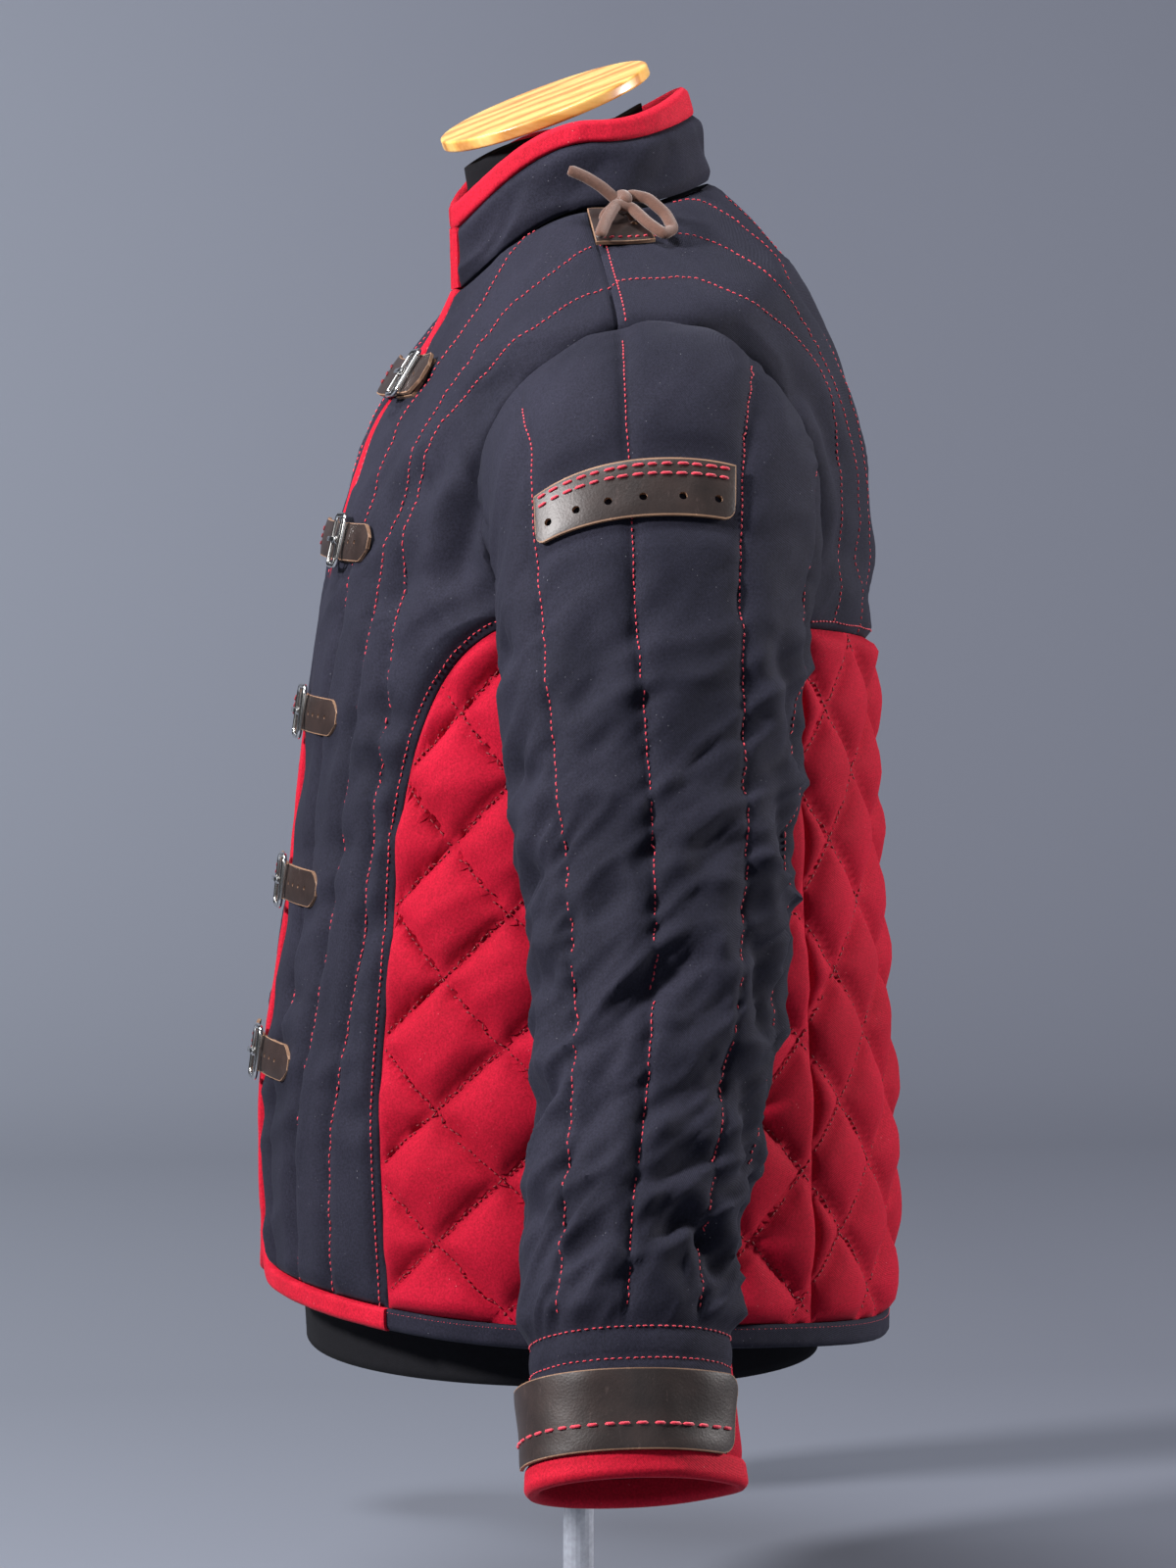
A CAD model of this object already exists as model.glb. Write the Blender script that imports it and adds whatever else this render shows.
"""Looks of the gambeson on its dress form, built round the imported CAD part."""

import math

import bmesh
import bpy
import numpy as np
from mathutils import Matrix, Vector
from mathutils.bvhtree import BVHTree


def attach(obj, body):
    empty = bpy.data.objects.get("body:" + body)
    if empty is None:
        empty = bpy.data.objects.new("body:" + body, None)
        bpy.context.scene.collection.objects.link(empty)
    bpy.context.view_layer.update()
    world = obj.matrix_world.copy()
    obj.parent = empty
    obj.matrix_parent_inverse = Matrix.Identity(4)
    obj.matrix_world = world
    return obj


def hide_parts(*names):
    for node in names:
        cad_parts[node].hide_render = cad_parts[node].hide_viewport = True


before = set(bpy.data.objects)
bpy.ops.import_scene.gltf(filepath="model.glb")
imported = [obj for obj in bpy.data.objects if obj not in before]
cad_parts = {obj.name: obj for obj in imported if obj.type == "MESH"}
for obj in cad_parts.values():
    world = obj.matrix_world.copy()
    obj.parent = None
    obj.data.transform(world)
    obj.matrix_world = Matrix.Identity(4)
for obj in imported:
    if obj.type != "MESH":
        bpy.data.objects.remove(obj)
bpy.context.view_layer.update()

# ---------------------------------------------------------------- sizes shared with the CAD part

HEM_Z = 0.200
SEAM_GAP = 0.0003
WALL = 0.0070
BIND_WIDTH = 0.0130
CORNER_RADIUS = 0.038
HEM_LEVEL = 0.020
NECK_LEVEL = 0.649
LEATHER = 0.0025
SIDE_SEAM = math.radians(125)
SHOULDER_SEAM_Y = -0.006
ARM_Y, ARM_Z = 0.010, 0.498
ARM_HALF_Y, ARM_HALF_Z = 0.087, 0.085
ARM_GAP = 0.0012
FIT_REACH = 0.060
ARM_LEAN = 0.006
ARM_FRONT, ARM_BACK = math.radians(150), math.radians(210)
FRONT_SLEEVE_SEAM, BACK_SLEEVE_SEAM = math.radians(100), math.radians(262)
SLEEVE_END = 0.577
GUSSET_START = 0.475
GUSSET_BEHIND, GUSSET_AHEAD = math.radians(18), math.radians(36)
CUFF_BINDING = 0.014
CUFF_FLARE, FLARE_ANGLE, FLARE_WIDTH = 0.010, math.radians(272), math.radians(28)
FRONT_GAP = 0.0008
RING_COLUMNS = ("level", "z_front", "z_back", "y_front", "y_back", "half_x", "power")
BODY_RINGS = (
    (0.020, 0.032, 0.002, -0.183, 0.178, 0.215, 2.20),
    (0.120, 0.124, 0.110, -0.185, 0.177, 0.213, 2.25),
    (0.250, 0.250, 0.246, -0.169, 0.169, 0.207, 2.30),
    (0.340, 0.340, 0.340, -0.159, 0.165, 0.204, 2.30),
    (0.415, 0.415, 0.420, -0.148, 0.164, 0.203, 2.30),
    (0.470, 0.466, 0.480, -0.138, 0.164, 0.204, 2.30),
    (0.530, 0.515, 0.548, -0.123, 0.152, 0.206, 2.25),
    (0.581, 0.556, 0.607, -0.099, 0.125, 0.203, 2.15),
    (0.618, 0.580, 0.641, -0.083, 0.101, 0.143, 2.05),
    (0.649, 0.603, 0.667, -0.072, 0.076, 0.079, 2.00),
)
COLLAR_RINGS = (
    (0.6505, 0.6045, 0.6685, -0.0725, 0.0765, 0.0795, 2.00),
    (0.678, 0.628, 0.695, -0.0730, 0.0700, 0.0745, 2.00),
    (0.700, 0.654, 0.722, -0.0740, 0.0615, 0.0700, 2.00),
)
FORM_RINGS = (
    (-0.0050, -0.005, -0.005, -0.158, 0.137, 0.183, 2.20),
    (0.0600, 0.060, 0.060, -0.161, 0.146, 0.188, 2.20),
    (0.2500, 0.250, 0.250, -0.148, 0.147, 0.187, 2.25),
    (0.4150, 0.412, 0.420, -0.128, 0.145, 0.184, 2.25),
    (0.5150, 0.498, 0.530, -0.104, 0.134, 0.182, 2.20),
    (0.5650, 0.535, 0.585, -0.080, 0.106, 0.165, 2.10),
    (0.5950, 0.558, 0.612, -0.066, 0.084, 0.118, 2.00),
    (0.6250, 0.585, 0.640, -0.057, 0.056, 0.072, 2.00),
    (0.6500, 0.620, 0.668, -0.058, 0.043, 0.055, 2.00),
    (0.6960, 0.674, 0.7120, -0.066, 0.036, 0.054, 2.00),
)
SLEEVE_COLUMNS = ("reach", "outer_x", "outer_z", "inner_x", "inner_z", "mid_y", "half_y")
SLEEVE_RINGS = (
    (0.000, 0.2050, 0.585, 0.2032, 0.413, 0.0100, 0.0870),
    (0.018, 0.2360, 0.575, 0.2060, 0.410, 0.0100, 0.0875),
    (0.039, 0.2660, 0.553, 0.2080, 0.405, 0.0095, 0.0870),
    (0.064, 0.2900, 0.518, 0.2100, 0.398, 0.0080, 0.0850),
    (0.095, 0.3100, 0.474, 0.2150, 0.385, 0.0055, 0.0825),
    (0.170, 0.3450, 0.385, 0.2380, 0.338, 0.0000, 0.0760),
    (0.263, 0.3760, 0.296, 0.2780, 0.254, -0.0020, 0.0665),
    (0.362, 0.4105, 0.202, 0.3215, 0.166, -0.0130, 0.0570),
    (0.453, 0.4417, 0.117, 0.3580, 0.083, -0.0280, 0.0520),
    (0.534, 0.4700, 0.041, 0.3900, 0.009, -0.0340, 0.0515),
    (0.581, 0.4880, -0.003, 0.4080, -0.035, -0.0370, 0.0525),
)
SLEEVE_POWER = 2.15
PRINCESS_COLUMNS = ("level", "degrees")
PRINCESS_ROWS = ((0.020, 47.0), (0.150, 45.5), (0.300, 44.0))
ARCH_ROWS = ((0.300, 44.0), (0.345, 46.5), (0.380, 51.0), (0.405, 58.0), (0.418, 66.0))
YOKE_BACK_LEVEL = 0.398
HOLE_RADIUS = 0.0022
STRIP_REACH, STRIP_HEIGHT = 0.0690, 0.0210
STRIP_FRONT, STRIP_BACK = math.radians(52), math.radians(-23)
FLAP_TOP, FLAP_BOTTOM = 0.523, 0.5640
FLAP_BACK, FLAP_FRONT = math.radians(-63), math.radians(106)
TAB_ANGLE, TAB_LEVEL = math.radians(95), 0.647
BUCKLE_ROWS = (
    (0.551, 0.050, 0.036), (0.460, 0.050, 0.049), (0.362, 0.022, 0.070), (0.265, 0.019, 0.071),
    (0.166, 0.020, 0.064),
)
STRAP_HALF = 0.0105
CHAPE_LIFT = 0.0033
STRAP_LIFT = CHAPE_LIFT + LEATHER + SEAM_GAP
STRAP_START = -0.062
FRAME_SIZE, FRAME_WIRE = (0.022, 0.029), 0.0013
LACE_WIDTH = 0.0058
KNOT = (0.003, 0.014, 0.0130)
BOW_ROWS = (
    (-0.008, 0.022, 0.0068), (-0.007, 0.0200, 0.0100), (0.000, 0.0150, 0.0130), (0.008, 0.0130, 0.0175),
    (0.017, 0.0180, 0.0170), (0.024, 0.0290, 0.0125), (0.025, 0.0400, 0.0092), (0.019, 0.0430, 0.0085),
    (0.013, 0.0330, 0.0105), (0.007, 0.0200, 0.0135), (-0.0020, 0.0190, 0.0155), (-0.0080, 0.0300, 0.0130),
    (-0.0130, 0.0430, 0.0095),
)
END_ROWS = (
    (0.009, 0.022, 0.0068), (0.008, 0.0205, 0.0098), (0.004, 0.0145, 0.0120), (-0.003, 0.0105, 0.0165),
    (-0.009, 0.0080, 0.0210), (-0.015, 0.0060, 0.0260), (-0.021, 0.0050, 0.0310),
)
CAP_RADIUS, CAP_THICK = 0.0635, 0.007
CAP_CENTRE = (-0.002, -0.019, 0.7100)
CAP_TILT_FORWARD, CAP_TILT_SIDE = math.radians(21.4), math.radians(7.5)


def rising(value, start, width):
    """0 up to the start, then up to 1 over the width."""
    return np.clip((value - start) / width, 0, 1)


def falling(value, end, width):
    """1 until one width before the end, then down to 0."""
    return np.clip((end - value) / width, 0, 1)


def hump(value, middle, width):
    """1 in the middle, dying out on both sides."""
    return np.exp(-((value - middle) / width) ** 2)


def wrapped(angle):
    """The same angle, at most half a turn either way."""
    return np.mod(angle + math.pi, 2 * math.pi) - math.pi


def edge_roll(share):
    """How far a binding has turned over towards its outer edge, from 0 to 1."""
    return rising(share, 0.72, 0.28) ** 2.2


def column(names, rows, name):
    """One named column of a table as an array."""
    return np.array([row[names.index(name)] for row in rows], float)


def smooth(xs, ys, x):
    """Cubic through a table's points that never overshoots them."""
    step = np.diff(xs)
    slope = np.diff(ys) / step
    tangent = np.concatenate([slope[:1], np.zeros(len(xs) - 2), slope[-1:]])
    same_way = slope[:-1] * slope[1:] > 0
    total = np.where(same_way, slope[:-1] + slope[1:], 1.0)
    tangent[1:-1] = np.where(same_way, 2.0 * slope[:-1] * slope[1:] / total, 0.0)
    x = np.clip(x, xs[0], xs[-1])
    i = np.clip(np.searchsorted(xs, x, side="right") - 1, 0, len(xs) - 2)
    u = (x - xs[i]) / step[i]
    start = (2 * u**3 - 3 * u**2 + 1) * ys[i] + (u**3 - 2 * u**2 + u) * step[i] * tangent[i]
    return start + (3 * u**2 - 2 * u**3) * ys[i + 1] + (u**3 - u**2) * step[i] * tangent[i + 1]


def ring_surface(rows):
    """Function of angle (0 front, 90 degrees the wearer's left) and level, from a ring table."""
    cols = {name: column(RING_COLUMNS, rows, name) for name in RING_COLUMNS}
    levels = cols["level"]

    def at(theta, level):
        theta, level = np.broadcast_arrays(np.asarray(theta, float), np.asarray(level, float))
        value = {name: smooth(levels, cols[name], level) for name in RING_COLUMNS[1:]}
        c, s = np.cos(theta), np.sin(theta)
        p = 2.0 / value["power"]
        x = value["half_x"] * np.sign(s) * np.abs(s) ** p
        y = np.where(c > 0, value["y_front"], value["y_back"]) * np.abs(c) ** p
        z = level + np.where(c > 0, value["z_front"] - level, value["z_back"] - level) * c**2
        return np.stack([x, y, z + HEM_Z], -1)
    return at

body = ring_surface(BODY_RINGS)
collar = ring_surface(COLLAR_RINGS)
form = ring_surface(FORM_RINGS)


def outward(surface, u, v, du=1e-3, dv=2e-4):
    """Unit normal of a surface that points away from the wearer."""
    along_u = surface(u + du, v) - surface(u - du, v)
    along_v = surface(u, v + dv) - surface(u, v - dv)
    n = np.cross(along_u, along_v)
    return n / np.linalg.norm(n, axis=-1, keepdims=True)


def locate(y, z, near_theta=math.pi / 2, near_level=0.5):
    """Angle and level of the body surface at a given y and z (newton steps)."""
    theta, level = near_theta, near_level
    for _ in range(30):
        here = body(theta, level)
        dt = (body(theta + 1e-4, level) - here)[1:] / 1e-4
        dl = (body(theta, level + 1e-5) - here)[1:] / 1e-5
        miss = np.array([y, z + HEM_Z]) - here[1:]
        step = np.linalg.solve(np.array([dt, dl]).T, miss)
        theta += float(np.clip(step[0], -0.2, 0.2))
        level += float(np.clip(step[1], -0.03, 0.03))
        level = min(max(level, HEM_LEVEL), NECK_LEVEL)
    return theta, level


def armhole(alpha):
    """Angle and level on the body at an angle round the armhole (0 top, 90 degrees front)."""
    y = ARM_Y + ARM_LEAN * math.cos(alpha) - ARM_HALF_Y * math.sin(alpha)
    z = ARM_Z + ARM_HALF_Z * math.cos(alpha)
    return locate(y, z, near_theta=math.pi / 2 + (y / 0.2), near_level=z)


ARMHOLE_ALPHA = np.linspace(0, 2 * math.pi, 97)
ARMHOLE_SPOTS = np.array([armhole(a) for a in ARMHOLE_ALPHA])
ARMHOLE_POINTS = body(ARMHOLE_SPOTS[:, 0], ARMHOLE_SPOTS[:, 1])
SLEEVE = {name: column(SLEEVE_COLUMNS, SLEEVE_RINGS, name) for name in SLEEVE_COLUMNS}


def sleeve_ring(alpha, reach):
    """Point of the left sleeve's own rings, before they are fitted to the armhole."""
    ring = {name: smooth(SLEEVE["reach"], SLEEVE[name], reach) for name in SLEEVE_COLUMNS[1:]}
    p = 2.0 / SLEEVE_POWER
    c = np.sign(np.cos(alpha)) * np.abs(np.cos(alpha)) ** p
    s = np.sign(np.sin(alpha)) * np.abs(np.sin(alpha)) ** p
    x = (ring["outer_x"] + ring["inner_x"]) / 2 + c * (ring["outer_x"] - ring["inner_x"]) / 2
    z = (ring["outer_z"] + ring["inner_z"]) / 2 + c * (ring["outer_z"] - ring["inner_z"]) / 2
    return np.stack([x, ring["mid_y"] - s * ring["half_y"], z + HEM_Z], -1)


def sleeve(alpha, reach):
    """Point of the left sleeve: alpha 0 along its outer line, 90 degrees its front."""
    alpha, reach = np.broadcast_arrays(np.asarray(alpha, float), np.asarray(reach, float))
    turn = np.mod(alpha, 2 * math.pi)
    hole = np.stack([np.interp(turn, ARMHOLE_ALPHA, ARMHOLE_POINTS[:, k]) for k in range(3)], -1)
    hole = hole + np.array([ARM_GAP, 0, 0])
    w = np.clip(1 - reach / FIT_REACH, 0, 1)[..., None]
    fitted = sleeve_ring(alpha, reach) + (hole - sleeve_ring(alpha, 0 * reach)) * w * w
    away = wrapped(alpha - FLARE_ANGLE)
    open_share = np.clip((reach - GUSSET_START) / (SLEEVE_END - GUSSET_START), 0, 1)
    flare = CUFF_FLARE * open_share ** 1.3 * np.exp(-(away / FLARE_WIDTH) ** 2)
    return fitted + flare[..., None] * np.array([0, 1.0, 0])


def pull_in(points, normals, amount, closed=False):
    """Move a grid's edges inwards along the surface, which leaves the gaps at the seams."""
    def toward(edge, inside, normal):
        along = np.gradient(edge, axis=0)
        way = np.cross(along, normal)
        way /= np.linalg.norm(way, axis=-1, keepdims=True)
        side = np.sign(np.sum(way * (inside - edge), -1, keepdims=True))
        return edge + way * side * amount

    moved = points.copy()
    moved[0] = toward(points[0], points[1], normals[0])
    moved[-1] = toward(points[-1], points[-2], normals[-1])
    if not closed:
        side = moved.copy()
        moved[:, 0] = toward(side[:, 0], side[:, 1], normals[:, 0])
        moved[:, -1] = toward(side[:, -1], side[:, -2], normals[:, -1])
    return moved


def coons(left, right, bottom, top, lean=1.0, rise=1.0):
    """Grid between four boundary lines; lean and rise hold the right and top ones' pull back."""
    u = (np.linspace(0, 1, len(bottom)) ** lean)[None, :, None]
    v = (np.linspace(0, 1, len(left)) ** rise)[:, None, None]
    left, right, bottom, top = left[:, None], right[:, None], bottom[None], top[None]
    low = (1 - u) * bottom[:, :1] + u * bottom[:, -1:]
    high = (1 - u) * top[:, :1] + u * top[:, -1:]
    return (1 - u) * left + u * right + (1 - v) * (bottom - low) + v * (top - high)


# ---------------------------------------------------------------- camera
AZIMUTH, ELEVATION, DISTANCE = math.radians(82), math.radians(4), 3.6
AIM = Vector((0.0, 0.0057, HEM_Z + 0.318))
back = Vector((math.sin(AZIMUTH) * math.cos(ELEVATION), -math.cos(AZIMUTH) * math.cos(ELEVATION),
               math.sin(ELEVATION)))
eye = bpy.data.cameras.new("camera")
eye.sensor_fit = "HORIZONTAL"
eye.sensor_width = 36.0
eye.lens = 189.5
camera = bpy.data.objects.new("camera", eye)
camera.location = AIM + back * DISTANCE
camera.rotation_euler = (AIM - camera.location).to_track_quat("-Z", "Y").to_euler()
bpy.context.scene.collection.objects.link(camera)
bpy.context.scene.camera = camera
bpy.context.scene.view_settings.view_transform = "Standard"


# ---------------------------------------------------------------- materials
class Nodes:
    """Builds a material's node tree in few words."""

    def __init__(self, name):
        self.mat = bpy.data.materials.new(name)
        self.mat.use_nodes = True
        self.tree = self.mat.node_tree
        self.shader = self.tree.nodes["Principled BSDF"]
        self.place = self.tree.nodes.new("ShaderNodeTexCoord").outputs["Object"]

    def set(self, **values):
        for key, value in values.items():
            self.shader.inputs[key.replace("_", " ")].default_value = value

    def link(self, a, b):
        self.tree.links.new(a, b)

    def mapped(self, scale=(1, 1, 1), turn=(0, 0, 0)):
        node = self.tree.nodes.new("ShaderNodeMapping")
        self.link(self.place, node.inputs["Vector"])
        node.inputs["Scale"].default_value = scale
        node.inputs["Rotation"].default_value = turn
        return node.outputs["Vector"]

    def noise(self, scale, detail=3.0, rough=0.5, vector=None):
        node = self.tree.nodes.new("ShaderNodeTexNoise")
        self.link(vector or self.place, node.inputs["Vector"])
        node.inputs["Scale"].default_value = scale
        node.inputs["Detail"].default_value = detail
        node.inputs["Roughness"].default_value = rough
        return node.outputs["Fac"]

    def spots(self, scale, vector=None):
        node = self.tree.nodes.new("ShaderNodeTexVoronoi")
        self.link(vector or self.place, node.inputs["Vector"])
        node.inputs["Scale"].default_value = scale
        return node.outputs["Distance"]

    def bands(self, scale, distort=0.0, vector=None, direction="DIAGONAL"):
        node = self.tree.nodes.new("ShaderNodeTexWave")
        self.link(vector or self.place, node.inputs["Vector"])
        node.bands_direction = direction
        node.inputs["Scale"].default_value = scale
        node.inputs["Distortion"].default_value = distort
        node.inputs["Detail Scale"].default_value = 1.5
        return node.outputs["Fac"]

    def ramp(self, fac, *stops):
        node = self.tree.nodes.new("ShaderNodeValToRGB")
        self.link(fac, node.inputs["Fac"])
        spots = node.color_ramp.elements
        while len(spots) < len(stops):
            spots.new(0.5)
        for spot, (at, color) in zip(spots, stops):
            spot.position = at
            spot.color = (*color, 1) if hasattr(color, "__len__") else (color, color, color, 1)
        return node.outputs["Color"]

    def mix(self, fac, a, b, kind="MIX"):
        node = self.tree.nodes.new("ShaderNodeMix")
        node.data_type = "RGBA"
        node.blend_type = kind
        for value, socket in ((fac, node.inputs["Factor"]), (a, node.inputs[6]), (b, node.inputs[7])):
            if isinstance(value, bpy.types.NodeSocket):
                self.link(value, socket)
            else:
                socket.default_value = (*value, 1) if hasattr(value, "__len__") else value
        return node.outputs[2]

    def sums(self, *parts):
        """Weighted sum of values."""
        total = None
        for value, weight in parts:
            node = self.tree.nodes.new("ShaderNodeMath")
            node.operation = "MULTIPLY_ADD"
            self.link(value, node.inputs[0])
            node.inputs[1].default_value = weight
            if total:
                self.link(total, node.inputs[2])
            else:
                node.inputs[2].default_value = 0.0
            total = node.outputs[0]
        return total

    def bump(self, height, strength, distance):
        node = self.tree.nodes.new("ShaderNodeBump")
        self.link(height, node.inputs["Height"])
        node.inputs["Strength"].default_value = strength
        node.inputs["Distance"].default_value = distance
        self.link(node.outputs["Normal"], self.shader.inputs["Normal"])

    def color(self, value):
        self.link(value, self.shader.inputs["Base Color"])


def cloth_material(name, low, high, dust, rough=0.82, sheen=0.35, tint=(0.6, 0.65, 0.8)):
    m = Nodes(name)
    broad = m.ramp(m.noise(14, 4), (0.3, low), (0.7, high))
    grain = m.ramp(m.noise(850, 2), (0.30, 0.72), (0.72, 1.25))
    base = m.mix(1.0, broad, grain, "MULTIPLY")
    specks = m.ramp(m.spots(230), (0.05, 1.0), (0.085, 0.0))
    where = m.ramp(m.noise(38, 2), (0.52, 0.0), (0.66, 1.0))
    mask = m.mix(1.0, specks, where, "MULTIPLY")
    m.color(m.mix(mask, base, dust))
    m.set(Roughness=rough, Sheen_Weight=sheen, Sheen_Roughness=0.45, Sheen_Tint=(*tint, 1),
          Specular_IOR_Level=0.12)
    twill = m.bands(520, 0.6, m.mapped((1, 1, 1), (0.3, 0.5, 0.2)))
    m.bump(m.sums((twill, 0.5), (m.noise(420, 3), 0.9), (m.noise(90, 3), 0.5)), 0.35, 0.0005)
    return m.mat


def leather_material(name, low, high, rough=0.48, coat=0.12):
    m = Nodes(name)
    broad = m.ramp(m.noise(45, 5, 0.6), (0.32, low), (0.72, high))
    scuff = m.ramp(m.noise(260, 4, 0.7, m.mapped((1, 1, 0.35))), (0.60, 0.0), (0.80, 0.55))
    m.color(m.mix(scuff, broad, tuple(min(1, c * 2.3 + 0.02) for c in high)))
    m.set(Roughness=rough, Coat_Weight=coat, Coat_Roughness=0.35)
    m.bump(m.sums((m.spots(620), 0.4), (m.noise(900, 3), 0.6), (m.noise(110, 3), 0.5)), 0.3, 0.0004)
    return m.mat


def plain_material(name, color, rough, metal=0.0, bump=0.0, scale=300, **more):
    m = Nodes(name)
    low, high = tuple(c * 0.85 for c in color), tuple(min(1, c * 1.12) for c in color)
    m.color(m.ramp(m.noise(scale, 3), (0.3, low), (0.7, high)))
    m.set(Roughness=rough, Metallic=metal, **more)
    if bump:
        m.bump(m.noise(scale * 2.5, 3), bump, 0.0004)
    return m.mat


def wood_material(name):
    m = Nodes(name)
    grain = m.bands(16, 5.5, m.mapped((1.0, 0.16, 1.0), (0.35, 0.0, 0.5)), "X")
    fine = m.noise(240, 4, 0.6, m.mapped((1, 0.08, 1), (0.35, 0.0, 0.5)))
    tone = m.ramp(grain, (0.05, (0.55, 0.21, 0.030)), (0.35, (0.86, 0.44, 0.085)), (0.9, (0.96, 0.60, 0.17)))
    m.color(m.mix(0.35, tone, m.ramp(fine, (0.35, (0.42, 0.17, 0.04)), (0.7, (0.9, 0.56, 0.22)))))
    m.set(Roughness=0.34, Coat_Weight=0.35, Coat_Roughness=0.15)
    m.bump(fine, 0.08, 0.0004)
    return m.mat


DARK = cloth_material("dark_cloth_look", (0.0125, 0.0125, 0.0215), (0.0190, 0.0185, 0.0310),
                      (0.13, 0.13, 0.15), sheen=0.03)
RED = cloth_material("red_cloth_look", (0.31, 0.0030, 0.0165), (0.40, 0.0045, 0.024), (0.55, 0.12, 0.14),
                     sheen=0.03, tint=(1.0, 0.35, 0.4))
BINDING = cloth_material("binding_look", (0.40, 0.0055, 0.020), (0.50, 0.008, 0.028), (0.6, 0.2, 0.2),
                         rough=0.75, sheen=0.05, tint=(1.0, 0.4, 0.45))
HIDE = leather_material("leather_look", (0.014, 0.008, 0.007), (0.034, 0.020, 0.017), 0.46, 0.05)
HIDE_EDGE = leather_material("leather_edge_look", (0.16, 0.085, 0.05), (0.30, 0.17, 0.10), 0.7, 0.0)
SUEDE = plain_material("suede_look", (0.100, 0.042, 0.026), 0.95, bump=0.6, scale=500, Sheen_Weight=0.4)
THREAD = plain_material("red_thread_look", (0.62, 0.016, 0.045), 0.6, bump=0.4, scale=900, Sheen_Weight=0.25)
DEEP_THREAD = plain_material("deep_red_thread_look", (0.20, 0.004, 0.012), 0.65, bump=0.4, scale=900)
NICKEL = plain_material("nickel_look", (0.72, 0.71, 0.69), 0.20, 1.0, scale=60)
FORM = plain_material("form_cloth_look", (0.006, 0.006, 0.008), 0.95, bump=0.5, scale=400,
                      Specular_IOR_Level=0.2)
STAND = plain_material("stand_look", (0.30, 0.32, 0.37), 0.5)
WOOD = wood_material("varnished_wood_look")


# ---------------------------------------------------------------- measuring on the cloth
def pair(first, second):
    """Rows of two values, such as an angle and a level; one of them may be a single number."""
    return np.stack(np.broadcast_arrays(first, second), -1)


THETAS = np.linspace(0, math.pi, 361)
LEVELS = np.linspace(HEM_LEVEL, NECK_LEVEL, 160)
RING_GRID = body(*np.meshgrid(THETAS, LEVELS))
ARCS = np.concatenate([np.zeros((len(LEVELS), 1)),
                       np.cumsum(np.linalg.norm(np.diff(RING_GRID, axis=1), axis=-1), axis=1)], 1)
LOW_LEVEL = HEM_LEVEL + BIND_WIDTH
SLEEVE_SCALE = 0.078  # metres along the upper sleeve for each radian
CUFF_SCALE = 0.052
TAB_SCALE = 0.085
BODY_SCALE = 0.19
SIDE_SCALE = 0.20
ARM_SCALE = 0.068
COLLAR_SCALE = 0.075
NECK_FADE = 0.60  # level where creases and channels give way to the shoulder seam
CHANNEL_TOP = 0.500  # level above which the body's channels flatten
SHOULDER_ALPHA = math.asin((ARM_Y + ARM_LEAN - SHOULDER_SEAM_Y) / ARM_HALF_Y)


def angle_at(distance, level):
    """Angle at a distance round the ring from the centre front."""
    distance, level = np.broadcast_arrays(np.asarray(distance, float), np.asarray(level, float))
    row = (np.clip(level, LEVELS[0], LEVELS[-1]) - LEVELS[0]) / (LEVELS[1] - LEVELS[0])
    low = np.clip(row.astype(int), 0, len(LEVELS) - 2)
    out = np.zeros(distance.shape)
    for i in np.ndindex(distance.shape):
        part = row[i] - low[i]
        arc = ARCS[low[i]] * (1 - part) + ARCS[low[i] + 1] * part
        out[i] = np.interp(abs(distance[i]), arc, THETAS) * np.sign(distance[i])
    return out


def level_at(theta, height):
    """Level whose ring passes an angle at a height over the centre-back hem."""
    folded = math.pi - abs(math.pi - theta % (2 * math.pi))
    heights = body(np.full(len(LEVELS), folded), LEVELS)[:, 2] - HEM_Z
    return float(np.interp(height, heights, LEVELS))


def curve(rows, count, degrees=False, scale=(0.2, 1.0)):
    """Smooth evenly spaced line through a few points."""
    rows = np.array(rows, float)
    if degrees:
        rows = rows * [math.pi / 180, 1.0]
    gap = np.linalg.norm(np.diff(rows * scale, axis=0), axis=1)
    reach = np.concatenate([[0], np.cumsum(gap)])
    at = np.linspace(0, reach[-1], count)
    return np.stack([smooth(reach, rows[:, k], at) for k in range(2)], -1)


def on(surface, line):
    return surface(line[:, 0], line[:, 1])


def near(points, line):
    """Distance of every point from a line in space, and how far along the line it is."""
    best = np.full(len(points), 9.0)
    along = np.zeros(len(points))
    run = 0.0
    for a, b in zip(line[:-1], line[1:]):
        way = b - a
        size = float(way @ way)
        if size < 1e-14:
            continue
        t = np.clip((points - a) @ way / size, 0, 1)
        gap = np.linalg.norm(points - a - t[:, None] * way, axis=1)
        closer = gap < best
        best = np.where(closer, gap, best)
        along = np.where(closer, run + t * math.sqrt(size), along)
        run += math.sqrt(size)
    return best, along / max(run, 1e-9)


def noise(x, y, seed):
    """Smooth noise from -1 to 1."""
    table = np.random.RandomState(seed).rand(64, 64) * 2 - 1
    i, j = np.floor(x).astype(int), np.floor(y).astype(int)
    u, v = x - i, y - j
    u, v = u * u * (3 - 2 * u), v * v * (3 - 2 * v)
    a, b = table[i % 64, j % 64], table[(i + 1) % 64, j % 64]
    c, d = table[i % 64, (j + 1) % 64], table[(i + 1) % 64, (j + 1) % 64]
    return (a * (1 - u) + b * u) * (1 - v) + (c * (1 - u) + d * u) * v


def crumple(a, b, slant, long, wide, seed):
    """Ridged noise stretched along a slanting way: narrow creases with soft swells between."""
    q = b * math.cos(slant) - a * math.sin(slant)
    r = a * math.cos(slant) + b * math.sin(slant)
    bend = noise(r / long, q / long, seed + 7) * 0.6
    return 0.5 - np.abs(noise(q / wide + bend, r / long, seed))


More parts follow.
